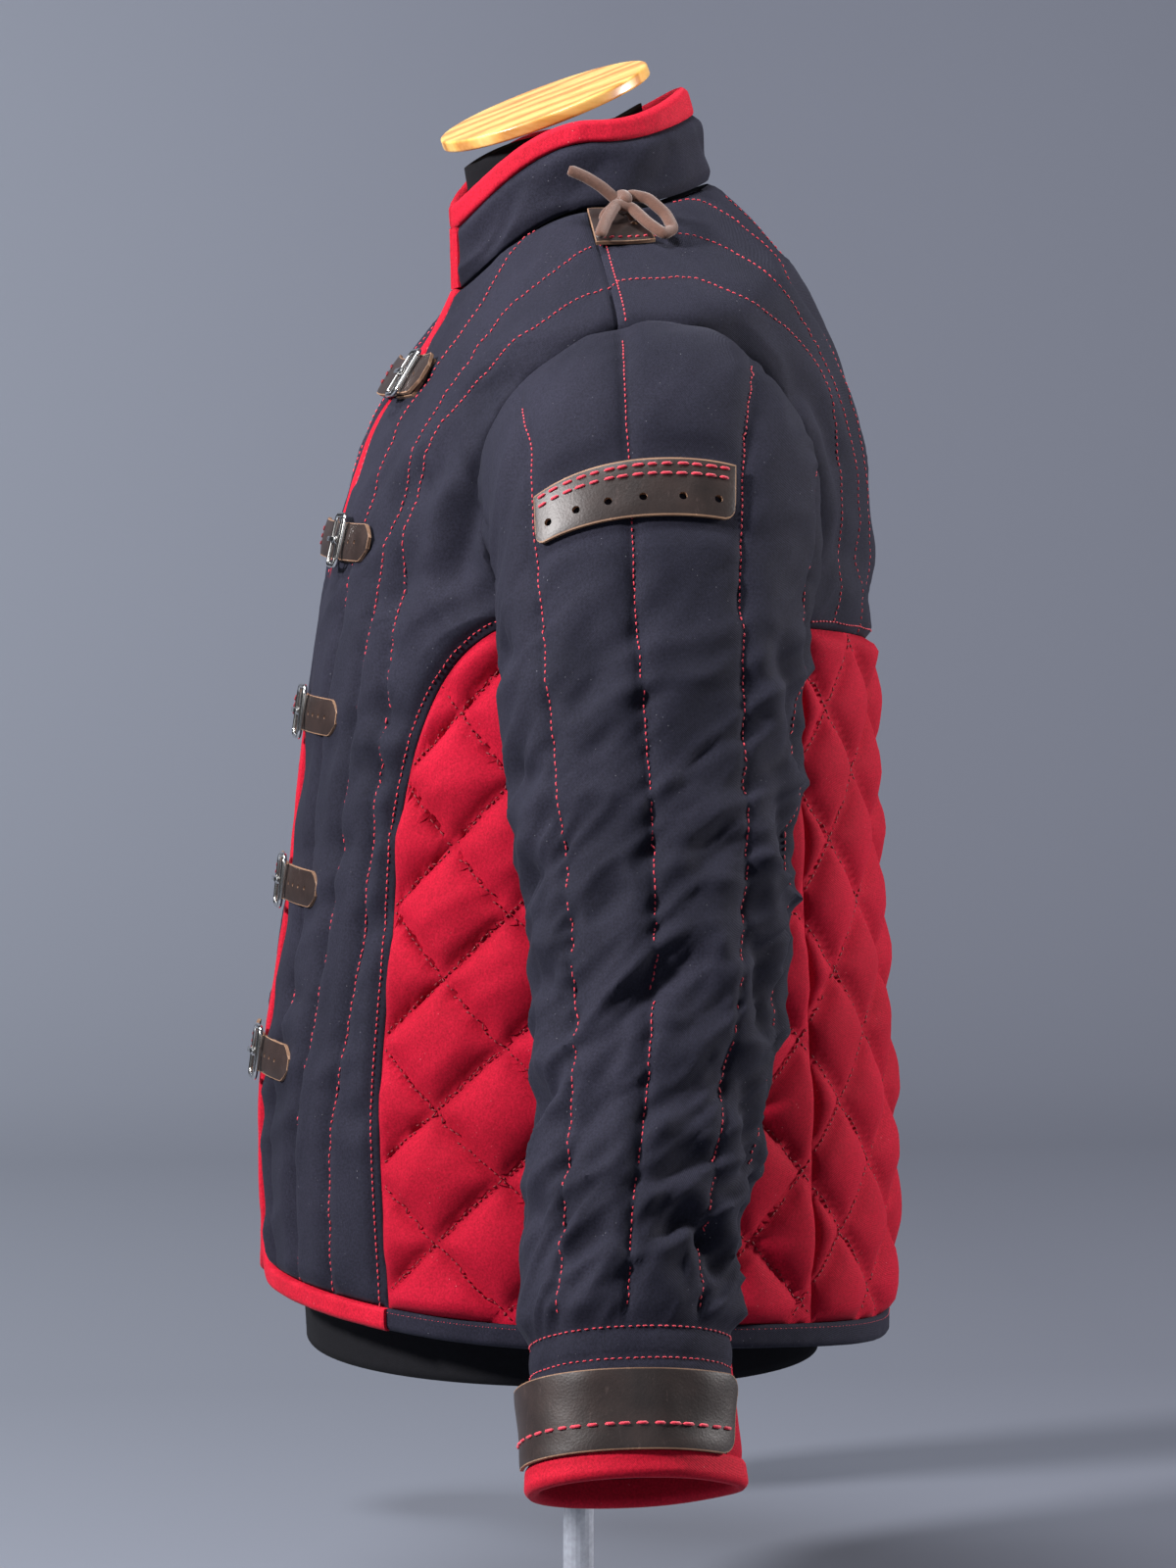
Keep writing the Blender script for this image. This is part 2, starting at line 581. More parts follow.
def folds(points, surface, rows):
    """Hand-placed creases, as rows of depth, width and points: troughs that die out at both ends."""
    total = np.zeros(len(points))
    for depth, width, spots in rows:
        line = on(surface, curve(spots, 14, degrees=True))
        gap, along = near(points, line)
        fade = np.clip(np.sin(math.pi * np.clip(along, 0.02, 0.98)), 0, 1) ** 0.6
        end = np.minimum(np.linalg.norm(points - line[0], axis=1), np.linalg.norm(points - line[-1], axis=1))
        fade = fade * np.clip(end / width, 0.15, 1)
        t = gap / width
        total += depth * fade * (0.45 * hump(t, 1.9, 0.9) - np.exp(-t ** 1.4))
    return total


# ---------------------------------------------------------------- shells
def placed(name, data):
    """New object in the scene with this mesh."""
    obj = bpy.data.objects.new(name, data)
    bpy.context.scene.collection.objects.link(obj)
    return obj


def smooth_mesh(name, verts, faces, mat):
    mesh = bpy.data.meshes.new(name)
    mesh.from_pydata(verts, [], faces)
    mesh.materials.append(mat)
    mesh.shade_smooth()
    return mesh


def loft(name, rings, mat):
    """Closed tube through rings of points, with a flat face at each end."""
    index = np.arange(rings.shape[0] * rings.shape[1]).reshape(rings.shape[:2])
    roll = np.roll(index, -1, 1)
    faces = np.stack([index[:-1], roll[:-1], roll[1:], index[1:]], -1).reshape(-1, 4).tolist()
    faces += [index[0][::-1].tolist(), index[-1].tolist()]
    return placed(name, smooth_mesh(name, rings.reshape(-1, 3).tolist(), faces, mat))


def from_bmesh(name, bm, mat, sharp):
    """Object from an edited mesh, sharp where faces meet at more than so many degrees."""
    mesh = bpy.data.meshes.new(name)
    bm.to_mesh(mesh)
    bm.free()
    mesh.materials.append(mat)
    mesh.shade_smooth()
    mesh.set_sharp_from_angle(angle=math.radians(sharp))
    return placed(name, mesh)


SHARP_EDGE = math.radians(62)


def shell(name, outer, inner, mat, mirrored=False, closed=False, rim_mat=None, border=0):
    """Closed smooth wall between two grids of points; its rim may have its own material."""
    rows, cols = outer.shape[:2]
    points = np.concatenate([outer.reshape(-1, 3), inner.reshape(-1, 3)])
    if mirrored:
        points = points * [-1, 1, 1]
    index = np.arange(rows * cols).reshape(rows, cols)
    if closed:
        index = np.concatenate([index, index[:, :1]], 1)
    a, b, c, d = index[:-1, :-1], index[:-1, 1:], index[1:, 1:], index[1:, :-1]
    front = np.stack([a, b, c, d], -1)
    marks = np.zeros(front.shape[:2], int)
    if border:
        marks[:border], marks[-border:], marks[:, :border], marks[:, -border:] = 1, 1, 1, 1
    shift = rows * cols
    behind = np.stack([a, d, c, b], -1) + shift
    rims = [np.stack([index[0, 1:], index[0, :-1], index[0, :-1] + shift, index[0, 1:] + shift], -1),
            np.stack([index[-1, :-1], index[-1, 1:], index[-1, 1:] + shift, index[-1, :-1] + shift], -1)]
    if not closed:
        rims += [np.stack([index[:-1, 0], index[1:, 0], index[1:, 0] + shift, index[:-1, 0] + shift], -1),
                 np.stack([index[1:, -1], index[:-1, -1], index[:-1, -1] + shift, index[1:, -1] + shift], -1)]
    rims = np.concatenate(rims)
    faces = np.concatenate([front.reshape(-1, 4), behind.reshape(-1, 4), rims])
    if mirrored:
        faces = faces[:, ::-1]
    mesh = smooth_mesh(name, points.tolist(), faces.tolist(), mat)
    if rim_mat:
        mesh.materials.append(rim_mat)
        slots = np.concatenate([marks.ravel(), np.zeros(behind.size // 4, int), np.ones(len(rims), int)])
        mesh.polygons.foreach_set("material_index", slots)
    mesh.set_sharp_from_angle(angle=SHARP_EDGE)
    return placed(name, mesh)


EDGE_FADE, EDGE_SINK = 0.004, 0.0028  # how far from a seam the relief fades in and the cloth dips


def build(name, surface, grid, mat, relief=None, thick=WALL, lift=0.0, sink=0.0016,
          mirrored=False, rim_mat=None, border=0):
    """Shell on a surface with relief(points, grid); its edges sink towards the seams."""
    u, v = grid[..., 0], grid[..., 1]
    base = surface(u, v)
    normals = outward(surface, u, v)
    points = base.reshape(-1, 3)
    rise = relief(points, grid.reshape(-1, 2)) if relief else np.zeros(len(points))
    edges = [base[0], base[-1], base[:, 0], base[:, -1]]
    edge = np.min([near(points, line[::2] if len(line) > 60 else line)[0] for line in edges], axis=0)
    rise = rise * (1 - np.exp(-(edge / EDGE_FADE) ** 2)) - sink * np.exp(-edge / EDGE_SINK)
    lift = np.broadcast_to(lift, u.shape)[..., None]
    outer = base + normals * (rise.reshape(u.shape)[..., None] + lift)
    inner = base + normals * (lift - thick)
    outer = pull_in(outer, normals, SEAM_GAP / 2, False)
    inner = pull_in(inner, normals, SEAM_GAP / 2, False)
    return shell(name, outer, inner, mat, mirrored, False, rim_mat, border)


SIDES = (("left", False), ("right", True))
MIRROR = {False: np.array([1, 1, 1]), True: np.array([-1, 1, 1])}
cloth_pieces, leather_pieces, cut_pieces = [], [], []


def piece(obj, slot, *nodes):
    """Say what a piece rides on, its material slot and the CAD nodes it stands for."""
    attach(obj, "root")
    if nodes:
        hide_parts(*nodes)
    return obj


def cloth(obj, slot, node, cut=False):
    """Cloth piece; a cut one is also stated as a sheet below."""
    cloth_pieces.append(piece(obj, slot, node))
    if cut:
        cut_pieces.append(obj)


# ---------------------------------------------------------------- seams
def join(*lines):
    return np.vstack([lines[0]] + [line[1:] for line in lines[1:]])


def mirror_line(line):
    return pair(2 * math.pi - line[::-1, 0], line[::-1, 1])


def mirror_points(line):
    return line * [-1, 1, 1]


def seam_rows(rows):
    degrees, level = (column(PRINCESS_COLUMNS, rows, name) for name in ("degrees", "level"))
    return pair(np.radians(degrees), level)


def princess_line(steps):
    rows = seam_rows(PRINCESS_ROWS)
    level = np.linspace(LOW_LEVEL, PRINCESS_ROWS[-1][0], steps + 1)
    return pair(smooth(rows[:, 1], rows[:, 0], level), level)


def armhole_line(start, end, steps):
    alpha = np.mod(np.linspace(start, end, steps + 1), 2 * math.pi)
    return np.stack([np.interp(alpha, ARMHOLE_ALPHA, ARMHOLE_SPOTS[:, k]) for k in range(2)], -1)


def arch_line(steps):
    return curve(np.vstack([seam_rows(ARCH_ROWS), armhole_line(ARM_FRONT, ARM_FRONT, 1)[:1]]), steps + 1,
                 scale=(0.25, 1.0))


def shoulder_line(steps):
    low = armhole_line(SHOULDER_ALPHA, SHOULDER_ALPHA, 1)[0]
    high = np.array([math.radians(90) + SHOULDER_SEAM_Y / 0.075, NECK_LEVEL])
    return low + (high - low) * np.linspace(0, 1, steps + 1)[:, None]


def yoke_level(theta):
    return YOKE_BACK_LEVEL + 0.022 * np.abs(np.cos(theta - math.pi / 2)) ** 1.5


def yoke_side_line(steps):
    start = armhole_line(ARM_BACK, ARM_BACK, 1)[0]
    end = np.array([SIDE_SEAM, yoke_level(SIDE_SEAM)])
    return start + (end - start) * np.linspace(0, 1, steps + 1)[:, None]


def yoke_back_line(steps):
    theta = np.linspace(SIDE_SEAM, math.pi, steps + 1)
    return pair(theta, yoke_level(theta))


def corner_height(distance, inset):
    r = CORNER_RADIUS - inset
    across = np.clip(CORNER_RADIUS - distance, 0, r)
    return CORNER_RADIUS - np.sqrt(r * r - across * across)


def edge_line(inset, end_arc, hem_steps, corner_steps, rise_steps):
    """The front's hem, rounded corner and front edge at an inset, as (angle, level)."""
    r = CORNER_RADIUS - inset
    turn = np.linspace(0, math.pi / 2, corner_steps + 1)
    flat = np.linspace(end_arc, CORNER_RADIUS, hem_steps + 1)
    up = np.linspace(CORNER_RADIUS, NECK_LEVEL - HEM_LEVEL, rise_steps + 1)
    line = np.concatenate([
        pair(flat, inset)[:-1],
        pair(CORNER_RADIUS - r * np.sin(turn), CORNER_RADIUS - r * np.cos(turn)),
        pair(max(inset, FRONT_GAP), up)[1:]])
    line[:, 0] = np.maximum(line[:, 0], FRONT_GAP)
    return pair(angle_at(line[:, 0], HEM_LEVEL + line[:, 1]), HEM_LEVEL + line[:, 1])


PRINCESS_ARC = float(np.interp(princess_line(1)[0, 0], THETAS, ARCS[3]))


# ---------------------------------------------------------------- quilting lines, as degrees and level
FRONT_CREASES = (
    ((10.5, 0.036), (10.5, 0.074), (14.3, 0.240), (15.5, 0.35), (17, 0.46), (20, 0.54), (28, 0.600),
     (45, 0.635), (62, 0.648)),
    ((22, 0.034), (22, 0.081), (26.5, 0.244), (28, 0.35), (30, 0.46), (34, 0.53), (39.2, 0.571),
     (45.2, 0.600), (60, 0.613), (83.8, 0.628)),
    ((33, 0.034), (33, 0.087), (37.2, 0.246), (38, 0.35), (37.2, 0.461), (36.5, 0.498), (38.2, 0.522),
     (45.2, 0.556), (56.8, 0.581), (75.5, 0.600), (84.5, 0.604)),
)
BACK_CREASES = (
    ((125, 0.648), (130.3, 0.646), (142, 0.641), (149.5, 0.627), (156, 0.580), (159, 0.500), (160, 0.408)),
    ((86, 0.6285), (97.2, 0.632), (112.2, 0.631), (131, 0.616), (140.5, 0.591), (147, 0.550), (149.5, 0.490),
     (150, 0.406)),
    ((85.5, 0.604), (92.2, 0.608), (109.8, 0.606), (122.2, 0.593), (134.2, 0.570), (141.2, 0.545),
     (142, 0.525), (141, 0.495), (140.2, 0.474), (138.2, 0.433), (136, 0.415)),
    ((171, 0.640), (171, 0.560), (171, 0.480), (171, 0.402)),
)
SLEEVE_CREASES = (
    ((55.5, 0.012), (54.5, 0.088), (51, 0.126), (50, 0.165), (50.5, 0.205), (50.5, 0.260), (50, 0.322),
     (48.5, 0.344), (48, 0.406), (48.5, 0.469), (49.5, 0.498)),
    ((13, 0.006), (13, 0.049), (12.5, 0.085), (11, 0.134), (9, 0.162), (8, 0.213), (7.5, 0.266), (7, 0.298),
     (6.5, 0.338), (6.5, 0.370), (5.5, 0.422), (6, 0.469), (6.5, 0.498)),
    ((-37, 0.008), (-28.5, 0.056), (-26.5, 0.084), (-27, 0.116), (-30, 0.161), (-33, 0.243), (-35, 0.305),
     (-34, 0.363), (-34.5, 0.399), (-38, 0.461), (-36, 0.498)),
    ((-76, 0.012), (-74, 0.200), (-76, 0.400), (-78, 0.498)),
)
UNDER_CREASES = (
    ((138, 0.012), (138, 0.250), (138, 0.498)),
    ((180, 0.012), (180, 0.250), (180, 0.498)),
    ((222, 0.012), (222, 0.250), (222, 0.498)),
)
FRONT_LINES = [curve(rows, 40, degrees=True) for rows in FRONT_CREASES]
BACK_LINES = [curve(rows, 40, degrees=True) for rows in BACK_CREASES]
SLEEVE_LINES = [curve(rows, 60, degrees=True) for rows in SLEEVE_CREASES]
UNDER_LINES = [curve(rows, 40, degrees=True) for rows in UNDER_CREASES]
CUFF_ROWS = (0.500, 0.516)

FRONT_FOLDS = (
    (0.0070, 0.010, ((66, 0.520), (58, 0.492), (54, 0.462), (53, 0.432))),
    (0.0040, 0.009, ((51, 0.378), (44, 0.362), (38, 0.366), (33, 0.378))),
    (0.0040, 0.008, ((49, 0.350), (42, 0.335), (35, 0.338), (30, 0.330))),
    (0.0030, 0.008, ((48, 0.318), (42, 0.306), (37, 0.300))),
    (0.0035, 0.010, ((32, 0.420), (40, 0.440), (49, 0.452))),
    (0.0035, 0.011, ((26, 0.478), (36, 0.497), (48, 0.512))),
    (0.0030, 0.011, ((40, 0.540), (52, 0.556), (66, 0.560))),
    (0.0025, 0.008, ((47, 0.262), (41, 0.252), (38, 0.240))),
    (0.0025, 0.008, ((23, 0.300), (27, 0.290), (36, 0.296))),
    (0.0025, 0.008, ((12, 0.210), (18, 0.200), (25, 0.206))),
    (0.0025, 0.008, ((36, 0.150), (41, 0.142), (46, 0.150))),
    (0.0020, 0.009, ((5, 0.440), (12, 0.452), (20, 0.470))),
)
BACK_FOLDS = (
    (0.0055, 0.010, ((126, 0.505), (128, 0.470), (125, 0.440))),
    (0.0035, 0.010, ((128, 0.545), (137, 0.520), (140, 0.490))),
    (0.0030, 0.010, ((134, 0.460), (145, 0.446), (156, 0.450))),
    (0.0035, 0.012, ((150, 0.600), (160, 0.570), (164, 0.530))),
    (0.0030, 0.012, ((165, 0.480), (175, 0.465), (188, 0.470), (199, 0.486))),
    (0.0025, 0.012, ((150, 0.430), (165, 0.422), (178, 0.432))),
    (0.0055, 0.010, ((234, 0.505), (232, 0.470), (235, 0.440))),
    (0.0035, 0.011, ((231, 0.550), (222, 0.522), (219, 0.488))),
    (0.0030, 0.012, ((212, 0.600), (201, 0.572), (198, 0.530))),
    (0.0030, 0.011, ((226, 0.462), (214, 0.446), (203, 0.452))),
)
SLEEVE_FOLDS = (
    (0.0050, 0.010, ((-42, 0.130), (-56, 0.150), (-70, 0.185))),
    (0.0045, 0.010, ((-44, 0.205), (-58, 0.226), (-72, 0.262))),
    (0.0060, 0.010, ((-38, 0.285), (-52, 0.312), (-68, 0.350))),
    (0.0045, 0.009, ((-42, 0.372), (-58, 0.392), (-72, 0.424))),
    (0.0050, 0.008, ((-6, 0.458), (-22, 0.446), (-40, 0.456), (-56, 0.478))),
    (0.0045, 0.009, ((2, 0.432), (-12, 0.418), (-30, 0.402))),
    (0.0040, 0.009, ((0, 0.395), (-14, 0.376), (-31, 0.358))),
    (0.0040, 0.010, ((28, 0.342), (12, 0.330), (-8, 0.312), (-20, 0.300))),
    (0.0035, 0.010, ((46, 0.402), (30, 0.385), (14, 0.374))),
    (0.0035, 0.009, ((44, 0.470), (28, 0.456), (12, 0.446))),
    (0.0030, 0.012, ((44, 0.292), (28, 0.272), (14, 0.262))),
    (0.0030, 0.012, ((-2, 0.262), (-16, 0.246), (-28, 0.232))),
    (0.0028, 0.013, ((4, 0.212), (-12, 0.196), (-28, 0.172))),
    (0.0030, 0.012, ((44, 0.176), (30, 0.160), (20, 0.138))),
    (0.0040, 0.010, ((88, 0.182), (74, 0.196), (58, 0.190))),
    (0.0045, 0.010, ((92, 0.262), (78, 0.250), (60, 0.256))),
    (0.0040, 0.009, ((90, 0.318), (76, 0.306), (56, 0.312))),
    (0.0040, 0.009, ((92, 0.388), (76, 0.372), (58, 0.380))),
    (0.0035, 0.009, ((90, 0.440), (74, 0.432), (56, 0.446))),
    (0.0035, 0.010, ((88, 0.110), (78, 0.128), (64, 0.128))),
)
UNDER_FOLDS = (
    (0.0055, 0.010, ((104, 0.248), (130, 0.240), (160, 0.246), (190, 0.256))),
    (0.0050, 0.010, ((108, 0.295), (136, 0.282), (168, 0.290), (200, 0.304))),
    (0.0040, 0.010, ((112, 0.200), (140, 0.190), (176, 0.196))),
    (0.0045, 0.011, ((200, 0.180), (224, 0.190), (250, 0.214))),
    (0.0045, 0.010, ((206, 0.330), (228, 0.342), (252, 0.366))),
    (0.0035, 0.010, ((120, 0.370), (150, 0.358), (184, 0.366))),
    (0.0035, 0.010, ((120, 0.446), (150, 0.436), (190, 0.448))),
    (0.0045, 0.012, ((110, 0.110), (146, 0.092), (186, 0.092), (226, 0.112))),
    (0.0035, 0.010, ((150, 0.140), (180, 0.136), (214, 0.150))),
)
COLLAR_FOLDS = (
    (0.0026, 0.009, ((28, 0.655), (44, 0.668), (58, 0.684))),
    (0.0024, 0.009, ((70, 0.653), (84, 0.664), (100, 0.684))),
    (0.0020, 0.008, ((112, 0.656), (124, 0.668), (134, 0.682))),
    (0.0020, 0.010, ((150, 0.680), (170, 0.666), (196, 0.660))),
    (0.0024, 0.009, ((236, 0.682), (250, 0.668), (262, 0.656))),
    (0.0022, 0.009, ((286, 0.684), (300, 0.670), (318, 0.656))),
)


def groove(points, surface, lines, half, puff, sunk):
    """Soft channels between stitched lines: sunk at the line and full between."""
    gap = np.min([near(points, on(surface, line))[0] for line in lines], axis=0)
    t = np.clip(gap / half, 0, 1)
    rise = puff * (1 - (1 - t) ** 2.4) - sunk * np.exp(-gap / 0.0022)
    return rise, gap


def front_relief(points, grid):
    rise, gap = groove(points, body, FRONT_LINES, 0.018, 0.0050, 0.0018)
    rise = rise * (0.16 + 0.84 * falling(grid[:, 1], CHANNEL_TOP, 0.12))
    below_neck = falling(grid[:, 1], NECK_FADE, 0.1)
    edge = grid[:, 0] * 0.185 * below_neck + (1 - below_neck)
    shown = falling(grid[:, 1], 0.375, 0.03) + rising(grid[:, 1], 0.575, 0.02)
    flat = np.clip((edge - 0.012) / 0.012, 0.15, 1)
    rise = (rise * (flat * shown + (1 - shown) * 1.15)
            + (1 - shown) * 0.0022 * hump(edge, 0.020, 0.016))
    seam = np.min([near(points, on(body, line))[0] for line in (princess_line(20), arch_line(20))], axis=0)
    rise = np.minimum(rise, 0.0042 * (1 - (1 - np.clip(seam / 0.014, 0, 1)) ** 2.2) + 0.0002)
    ridge = hump(seam, 0.0048, 0.0016) * 0.0010
    a, b = grid[:, 0] * BODY_SCALE, grid[:, 1]
    beside = np.exp(-gap / 0.010)
    pucker = crumple(a, b, 0.25, 0.030, 0.0085, 5) * 0.0017 * beside
    chest = rising(grid[:, 1], 0.34, 0.08) * falling(grid[:, 1], NECK_FADE, 0.05)
    beside_arm = chest * hump(grid[:, 0], 0.95, 0.30)
    wrinkle = crumple(a, b, -0.9, 0.045, 0.017, 11) * 0.0060 * beside_arm
    return (rise - ridge + pucker + crumple(a, b, 0.5, 0.060, 0.026, 9) * 0.0030 + wrinkle
            + folds(points, body, FRONT_FOLDS) * 1.2)


def right_relief(points, grid):
    """The right front lies a little flatter beside the centre, under the left one's edge."""
    beside = np.exp(-(np.abs(points[:, 0]) / 0.075) ** 4)
    return front_relief(points, grid) * (1 - 0.75 * beside) - 0.0035 * beside


def back_relief(points, grid):
    lines = BACK_LINES + [mirror_line(line) for line in BACK_LINES]
    rise, gap = groove(points, body, lines, 0.020, 0.0040, 0.0016)
    rise = rise * (0.18 + 0.30 * falling(grid[:, 1], CHANNEL_TOP, 0.08))
    a, b = grid[:, 0] * BODY_SCALE, grid[:, 1]
    pucker = crumple(a, b, -0.3, 0.030, 0.0085, 15) * 0.0016 * np.exp(-gap / 0.010)
    arm = hump(grid[:, 0], 2.2, 0.25) + hump(grid[:, 0], 4.083, 0.25)
    wrinkle = crumple(a, b, 0.9, 0.045, 0.018, 21) * 0.0050 * arm * falling(grid[:, 1], NECK_FADE, 0.05)
    return (rise + pucker + crumple(a, b, -0.5, 0.060, 0.026, 19) * 0.0026 + wrinkle
            + folds(points, body, BACK_FOLDS) * 1.2)


DIAMOND_COLUMNS = ("degrees", "step")
DIAMOND_ROWS = ((44.5, -1), (57.5, 0), (70, 1), (83.5, 2), (97, 3), (110, 4), (122, 5), (133.5, 6),
                (144.5, 7), (156, 8), (168, 9), (180, 10))
DIAMOND_BASE, DIAMOND_RISE, DIAMOND_REACH = 0.2970, 0.0367, 0.0270


def lattice(theta, height):
    """Diamond quilting's two families of lines: whole even numbers lie on a line."""
    folded = np.degrees(math.pi - np.abs(math.pi - theta))
    u = smooth(*(column(DIAMOND_COLUMNS, DIAMOND_ROWS, name) for name in DIAMOND_COLUMNS), folded)
    w = (height - DIAMOND_BASE) / DIAMOND_RISE
    return u + w, u - w


def diamond_relief(points, grid):
    p, q = lattice(grid[:, 0], points[:, 2] - HEM_Z)
    gap = [np.abs((f + 1) % 2 - 1) * DIAMOND_REACH for f in (p, q)]
    low, high = np.minimum(*gap), np.maximum(*gap)
    t, s = np.clip(low / DIAMOND_REACH, 0, 1), np.clip(high / DIAMOND_REACH, 0, 1)
    rise = 0.0088 * (1 - (1 - t) ** 2.5) * (0.72 + 0.28 * s) - 0.0032 * np.exp(-low / 0.0019)
    a, b = grid[:, 0] * SIDE_SCALE, grid[:, 1]
    pucker = crumple(a, b, 0.9, 0.020, 0.008, 25) * 0.0013 * np.exp(-low / 0.008)
    return rise + pucker + crumple(a, b, 0.4, 0.05, 0.022, 29) * 0.0020 - 0.0012


def sleeve_relief(points, grid, lines=tuple(SLEEVE_LINES), rows=SLEEVE_FOLDS, seed=35):
    rise, gap = groove(points, sleeve, lines, 0.020, 0.0034, 0.0018)
    alpha, reach = grid[:, 0], grid[:, 1]
    cuff = np.min([np.abs(reach - row) for row in CUFF_ROWS], axis=0)
    rise = rise * falling(reach, 0.500, 0.010) - 0.0014 * np.exp(-cuff / 0.0022)
    quiet = np.clip((0.500 - reach) / 0.012, 0.12, 1)
    a = alpha * ARM_SCALE
    lower = 0.45 + 0.55 * rising(reach, 0.06, 0.20)
    behind = 1 + 0.7 * np.exp(-(wrapped(alpha + 1.2) / 0.5) ** 2)
    pucker = crumple(a, reach, 0.45, 0.026, 0.0095, seed) * 0.0032 * np.exp(-gap / 0.010)
    broad = crumple(a, reach, 0.62, 0.060, 0.021, seed + 3) * 0.0058
    small = crumple(a, reach, 0.75, 0.030, 0.010, seed + 5) * 0.0026
    total = (pucker * 1.25 + broad * 1.1 + small * 1.3) * lower * behind + folds(points, sleeve, rows) * 1.45
    rise = rise + total * quiet
    turn = wrapped(alpha - (STRIP_BACK + STRIP_FRONT) / 2)
    beyond = np.maximum((np.abs(turn) - (STRIP_FRONT - STRIP_BACK) / 2) * SLEEVE_SCALE,
                        np.abs(reach - STRIP_REACH - STRIP_HEIGHT / 2) - STRIP_HEIGHT / 2)
    under = np.clip(1.5 - beyond / 0.007, 0, 1)
    return rise * (1 - under) + np.minimum(rise, 0.0012) * under


def under_relief(points, grid):
    return sleeve_relief(points, grid, tuple(UNDER_LINES), UNDER_FOLDS, 45)


def collar_relief(points, grid):
    a, b = grid[:, 0] * COLLAR_SCALE, grid[:, 1]
    return 0.0010 + crumple(a, b, 0.5, 0.04, 0.020, 55) * 0.0024 + folds(points, collar, COLLAR_FOLDS) * 1.3


def binding_relief(points, grid):
    """Small ripples of a bound edge."""
    a, b = grid[:, 0] * BODY_SCALE, grid[:, 1]
    return noise(a / 0.009, b / 0.012, 61) * 0.00035 + noise(a / 0.03, b / 0.03, 63) * 0.0004


# ---------------------------------------------------------------- the jacket's cloth
def front_grid():
    right = join(princess_line(56), arch_line(26), armhole_line(ARM_FRONT, SHOULDER_ALPHA, 40),
                 shoulder_line(18))
    r = CORNER_RADIUS - BIND_WIDTH
    middle = CORNER_RADIUS - r * math.sqrt(0.5)
    distance = np.linspace(middle, PRINCESS_ARC, 78)
    low = HEM_LEVEL + corner_height(distance, BIND_WIDTH)
    share = (right[:, 1] - LOW_LEVEL) / (NECK_LEVEL - LOW_LEVEL)
    height = middle + share * (NECK_LEVEL - HEM_LEVEL - middle)
    inset = CORNER_RADIUS - np.sqrt(r * r - np.clip(CORNER_RADIUS - height, 0, r) ** 2)
    left = pair(angle_at(inset, HEM_LEVEL + height), HEM_LEVEL + height)
    bottom = pair(angle_at(distance, low), low)
    bottom[-1] = right[0]
    reach = np.linspace(BIND_WIDTH, float(np.interp(right[-1, 0], THETAS, ARCS[-1])), 78)
    top = pair(angle_at(reach, NECK_LEVEL), NECK_LEVEL)
    top[-1] = right[-1]
    return coons(left, right, bottom, top, lean=1.3, rise=1.3)


def side_grid():
    left = princess_line(96)
    top = join(arch_line(30), armhole_line(ARM_FRONT, ARM_BACK, 24), yoke_side_line(16))
    end = np.array([SIDE_SEAM, LOW_LEVEL])
    bottom = left[0] + (end - left[0]) * np.linspace(0, 1, len(top))[:, None]
    right = end + (top[-1] - end) * np.linspace(0, 1, len(left))[:, None]
    return coons(left, right, bottom, top)


def lower_back_grid():
    top = join(yoke_back_line(46), mirror_line(yoke_back_line(46)))
    low = np.array([SIDE_SEAM, LOW_LEVEL])
    left = low + (top[0] - low) * np.linspace(0, 1, 97)[:, None]
    right = left * [-1, 1] + [2 * math.pi, 0]
    bottom = left[0] + (right[0] - left[0]) * np.linspace(0, 1, len(top))[:, None]
    return coons(left, right, bottom, top)


def upper_back_grid():
    side = yoke_side_line(14)
    bottom = join(side, yoke_back_line(46), mirror_line(yoke_back_line(46)), mirror_line(side))
    left = join(armhole_line(ARM_BACK, 2 * math.pi + SHOULDER_ALPHA, 48), shoulder_line(20))
    right = left * [-1, 1] + [2 * math.pi, 0]
    top = left[-1] + (right[-1] - left[-1]) * np.linspace(0, 1, len(bottom))[:, None]
    return coons(left, right, bottom, top)


def strip_between(low, high, columns):
    """Grid of columns from one line to another."""
    share = np.linspace(0, 1, columns)[None, :, None]
    return low[:, None] * (1 - share) + high[:, None] * share


def rounded(grid, drop=0.0026, seam=0.0009):
    """Lift of a bound edge: sunk at the seam (first column), rolled over at the edge (last)."""
    share = np.linspace(0, 1, grid.shape[1])
    roll = -drop * edge_roll(share)
    return 0.0008 + roll - seam * np.exp(-share / 0.06)


def bound(name, surface, grid, mat, mirrored=False, raised=0.0):
    """Folded strip round an edge, rolled over outside and inside."""
    u, v = grid[..., 0], grid[..., 1]
    base = surface(u, v)
    normals = outward(surface, u, v)
    ripple = binding_relief(base.reshape(-1, 3), grid.reshape(-1, 2)).reshape(u.shape)
    rise = np.broadcast_to(raised, u.shape) + rounded(grid)[None, :] + ripple
    share = np.linspace(0, 1, grid.shape[1])
    under = -WALL - 0.0004 + 0.0024 * edge_roll(share)
    outer = base + normals * rise[..., None]
    inner = base + normals * np.broadcast_to(under, u.shape)[..., None]
    return shell(name, outer, inner, mat, mirrored)


